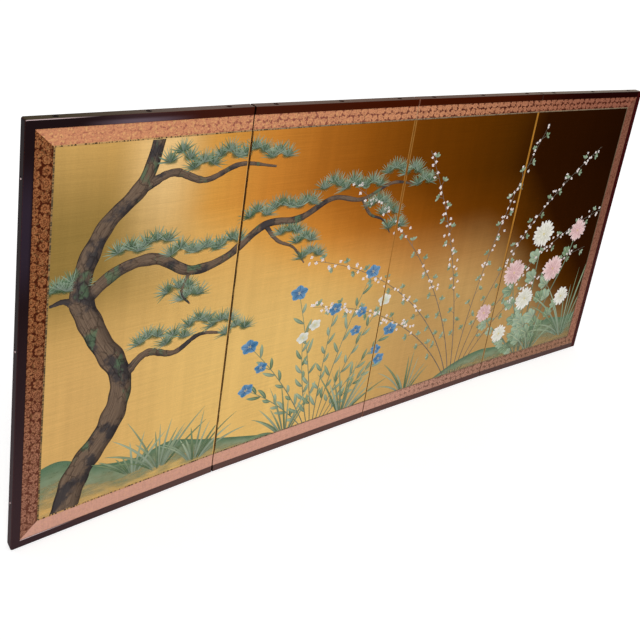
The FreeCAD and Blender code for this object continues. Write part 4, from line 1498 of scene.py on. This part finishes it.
def lacquer(tree, panel):
    """Maroon that turns redder along the rails, then darker. A broad painted sheen lies on the face of
    the top rail, a painted reflection of the floor towards the foot, a painted reflection on the
    left stile and a painted highlight on the top arris at the left. Arrises are worn where scuffs
    cross them. Painted light and shade mark the rail ends at the folds, and the tops carry painted
    reflection and dust."""
    place = strip_place(tree, panel)
    along, depth, height = parted(place)
    broad = noise(stretched(place, (3.0, 3.0, 3.0)), 1.0, 2.0)
    scuffs = noise(stretched(place, (9.0, 60.0, 260.0)), 1.0, 4.0, 0.7)
    side, front, up = parted(shader_step(tree, "NewGeometry", {}, output="Normal"))
    front = abs(front)
    arris = (1.0 - abs(side).at_least(front.at_least(up))).eased(0.06, 0.28)
    sheen = along.eased(0.09, 0.20) * along.fading(0.20, 0.34) * height.eased(0.70, 0.74)
    sheen = sheen * (1.0 - (height - (screen_height - rail_width)).eased(0.006, 0.013) * 0.85) * front
    floor_reflection = (height + (broad - 0.5) * 0.2).fading(0.0, 0.66)
    reflected = abs(height - 0.70).fading(0.04, 0.16) * (0.5 + broad * 0.5) * front
    wear_and_painted_light = arris * scuffs.eased(0.4, 0.65) * 0.4 * along.fading(1.1, 1.5)
    painted_lit = (front * up).eased(0.30, 0.48) * along.fading(0.05, 0.14)
    ends = {fold: beside_fold(along, fold, reach, 0.75)
            for fold, (reach, _, _) in painted_rail_end_light.items()}
    dull = ends[1].at_least(ends[2].at_least(ends[3]))
    on_top = up.eased(0.7, 1.0)
    dust = noise(place, 900.0, 3.0, 0.75).eased(0.35, 0.70)
    dust_and_reflection = layered(dust_and_reflection_colours[0], (dust_and_reflection_colours[1], along.eased(0.05, 0.38)),
                    (dust_and_reflection_colours[2], along.eased(0.9, 1.6)))
    on_panel = along - panel * panel_pitch
    beside = [abs(on_panel - nail) for nail in nail_places]
    beside = beside[0].at_most(beside[1].at_most(beside[2]))
    inward = depth - rail_depth / 2
    from_nail = (beside * beside + inward * inward).worked("SQRT")
    colour = layered(maroon, (redder_maroon, (along + broad * 0.2).eased(0.15, 0.60)),
                     (dark_maroon, along.eased(1.15, 1.60)),
                     (wide_sheen, sheen * (0.45 + scuffs * 0.50)),
                     (mixed(*painted_floor_reflection, along.eased(0.0, 0.5)), floor_reflection * 0.7),
                     (left_stile_violet, reflected * along.fading(*left_stile_edge) * 0.45),
                     (right_stile_red, along.eased(*right_stile_edge) * 0.75), (worn_arris, wear_and_painted_light),
                     *((tint, ends[fold] * strength)
                       for fold, (_, tint, strength) in painted_rail_end_light.items()),
                     (painted_arris_highlight, painted_lit * 0.9), (dust_and_reflection, on_top * (0.50 + dust * 0.35)),
                     (nail_stain_colour, on_top * from_nail.fading(nail_stain * 0.8, nail_stain)))
    return {"Base Color": colour,
            "Coat Weight": (0.10 - along.eased(0.25, 0.9) * 0.088) * (1.0 - dull),
            "Roughness": 0.36 + scuffs * 0.14 + on_top * dust * 0.3,
            "Height": noise(place, 60.0, 2.0) * ripple_relief}


lacquered = [[f"panel_{panel + 1}_top_rail", f"panel_{panel + 1}_bottom_rail"] for panel in panels]
lacquered[0].append("left_end_stile")
lacquered[-1].append("right_end_stile")
for panel in panels:
    polished = finish(f"maroon_lacquer_{panel + 1}", {"Coat Roughness": 0.04, "Specular IOR Level": 0.0},
                      lacquer, panel)
    for node in lacquered[panel]:
        dress(node, polished)


# The nails: cut iron nails, blackened, three to a rail or stile. They are driven from outside
# into sunk holes, so their heads lie below the face.
scale_relief = 0.00004


def iron(tree):
    """Blackened scale, with rust where a slower noise is high."""
    place = surface_place(tree)
    scale = noise(place, 1600.0, 3.0, 0.7)
    rust = noise(place, 380.0, 3.0).eased(0.55, 0.7)
    colour = mixed((0.012, 0.011, 0.011), (0.045, 0.040, 0.037), scale)
    return {"Base Color": mixed(colour, (0.085, 0.030, 0.012), rust * 0.6),
            "Roughness": 0.45 + scale * 0.3, "Height": scale * scale_relief}


iron_finish = finish("black_iron", {"Metallic": 0.7}, iron)
for panel in panels:
    dress(f"panel_{panel + 1}_frame_nails", iron_finish)
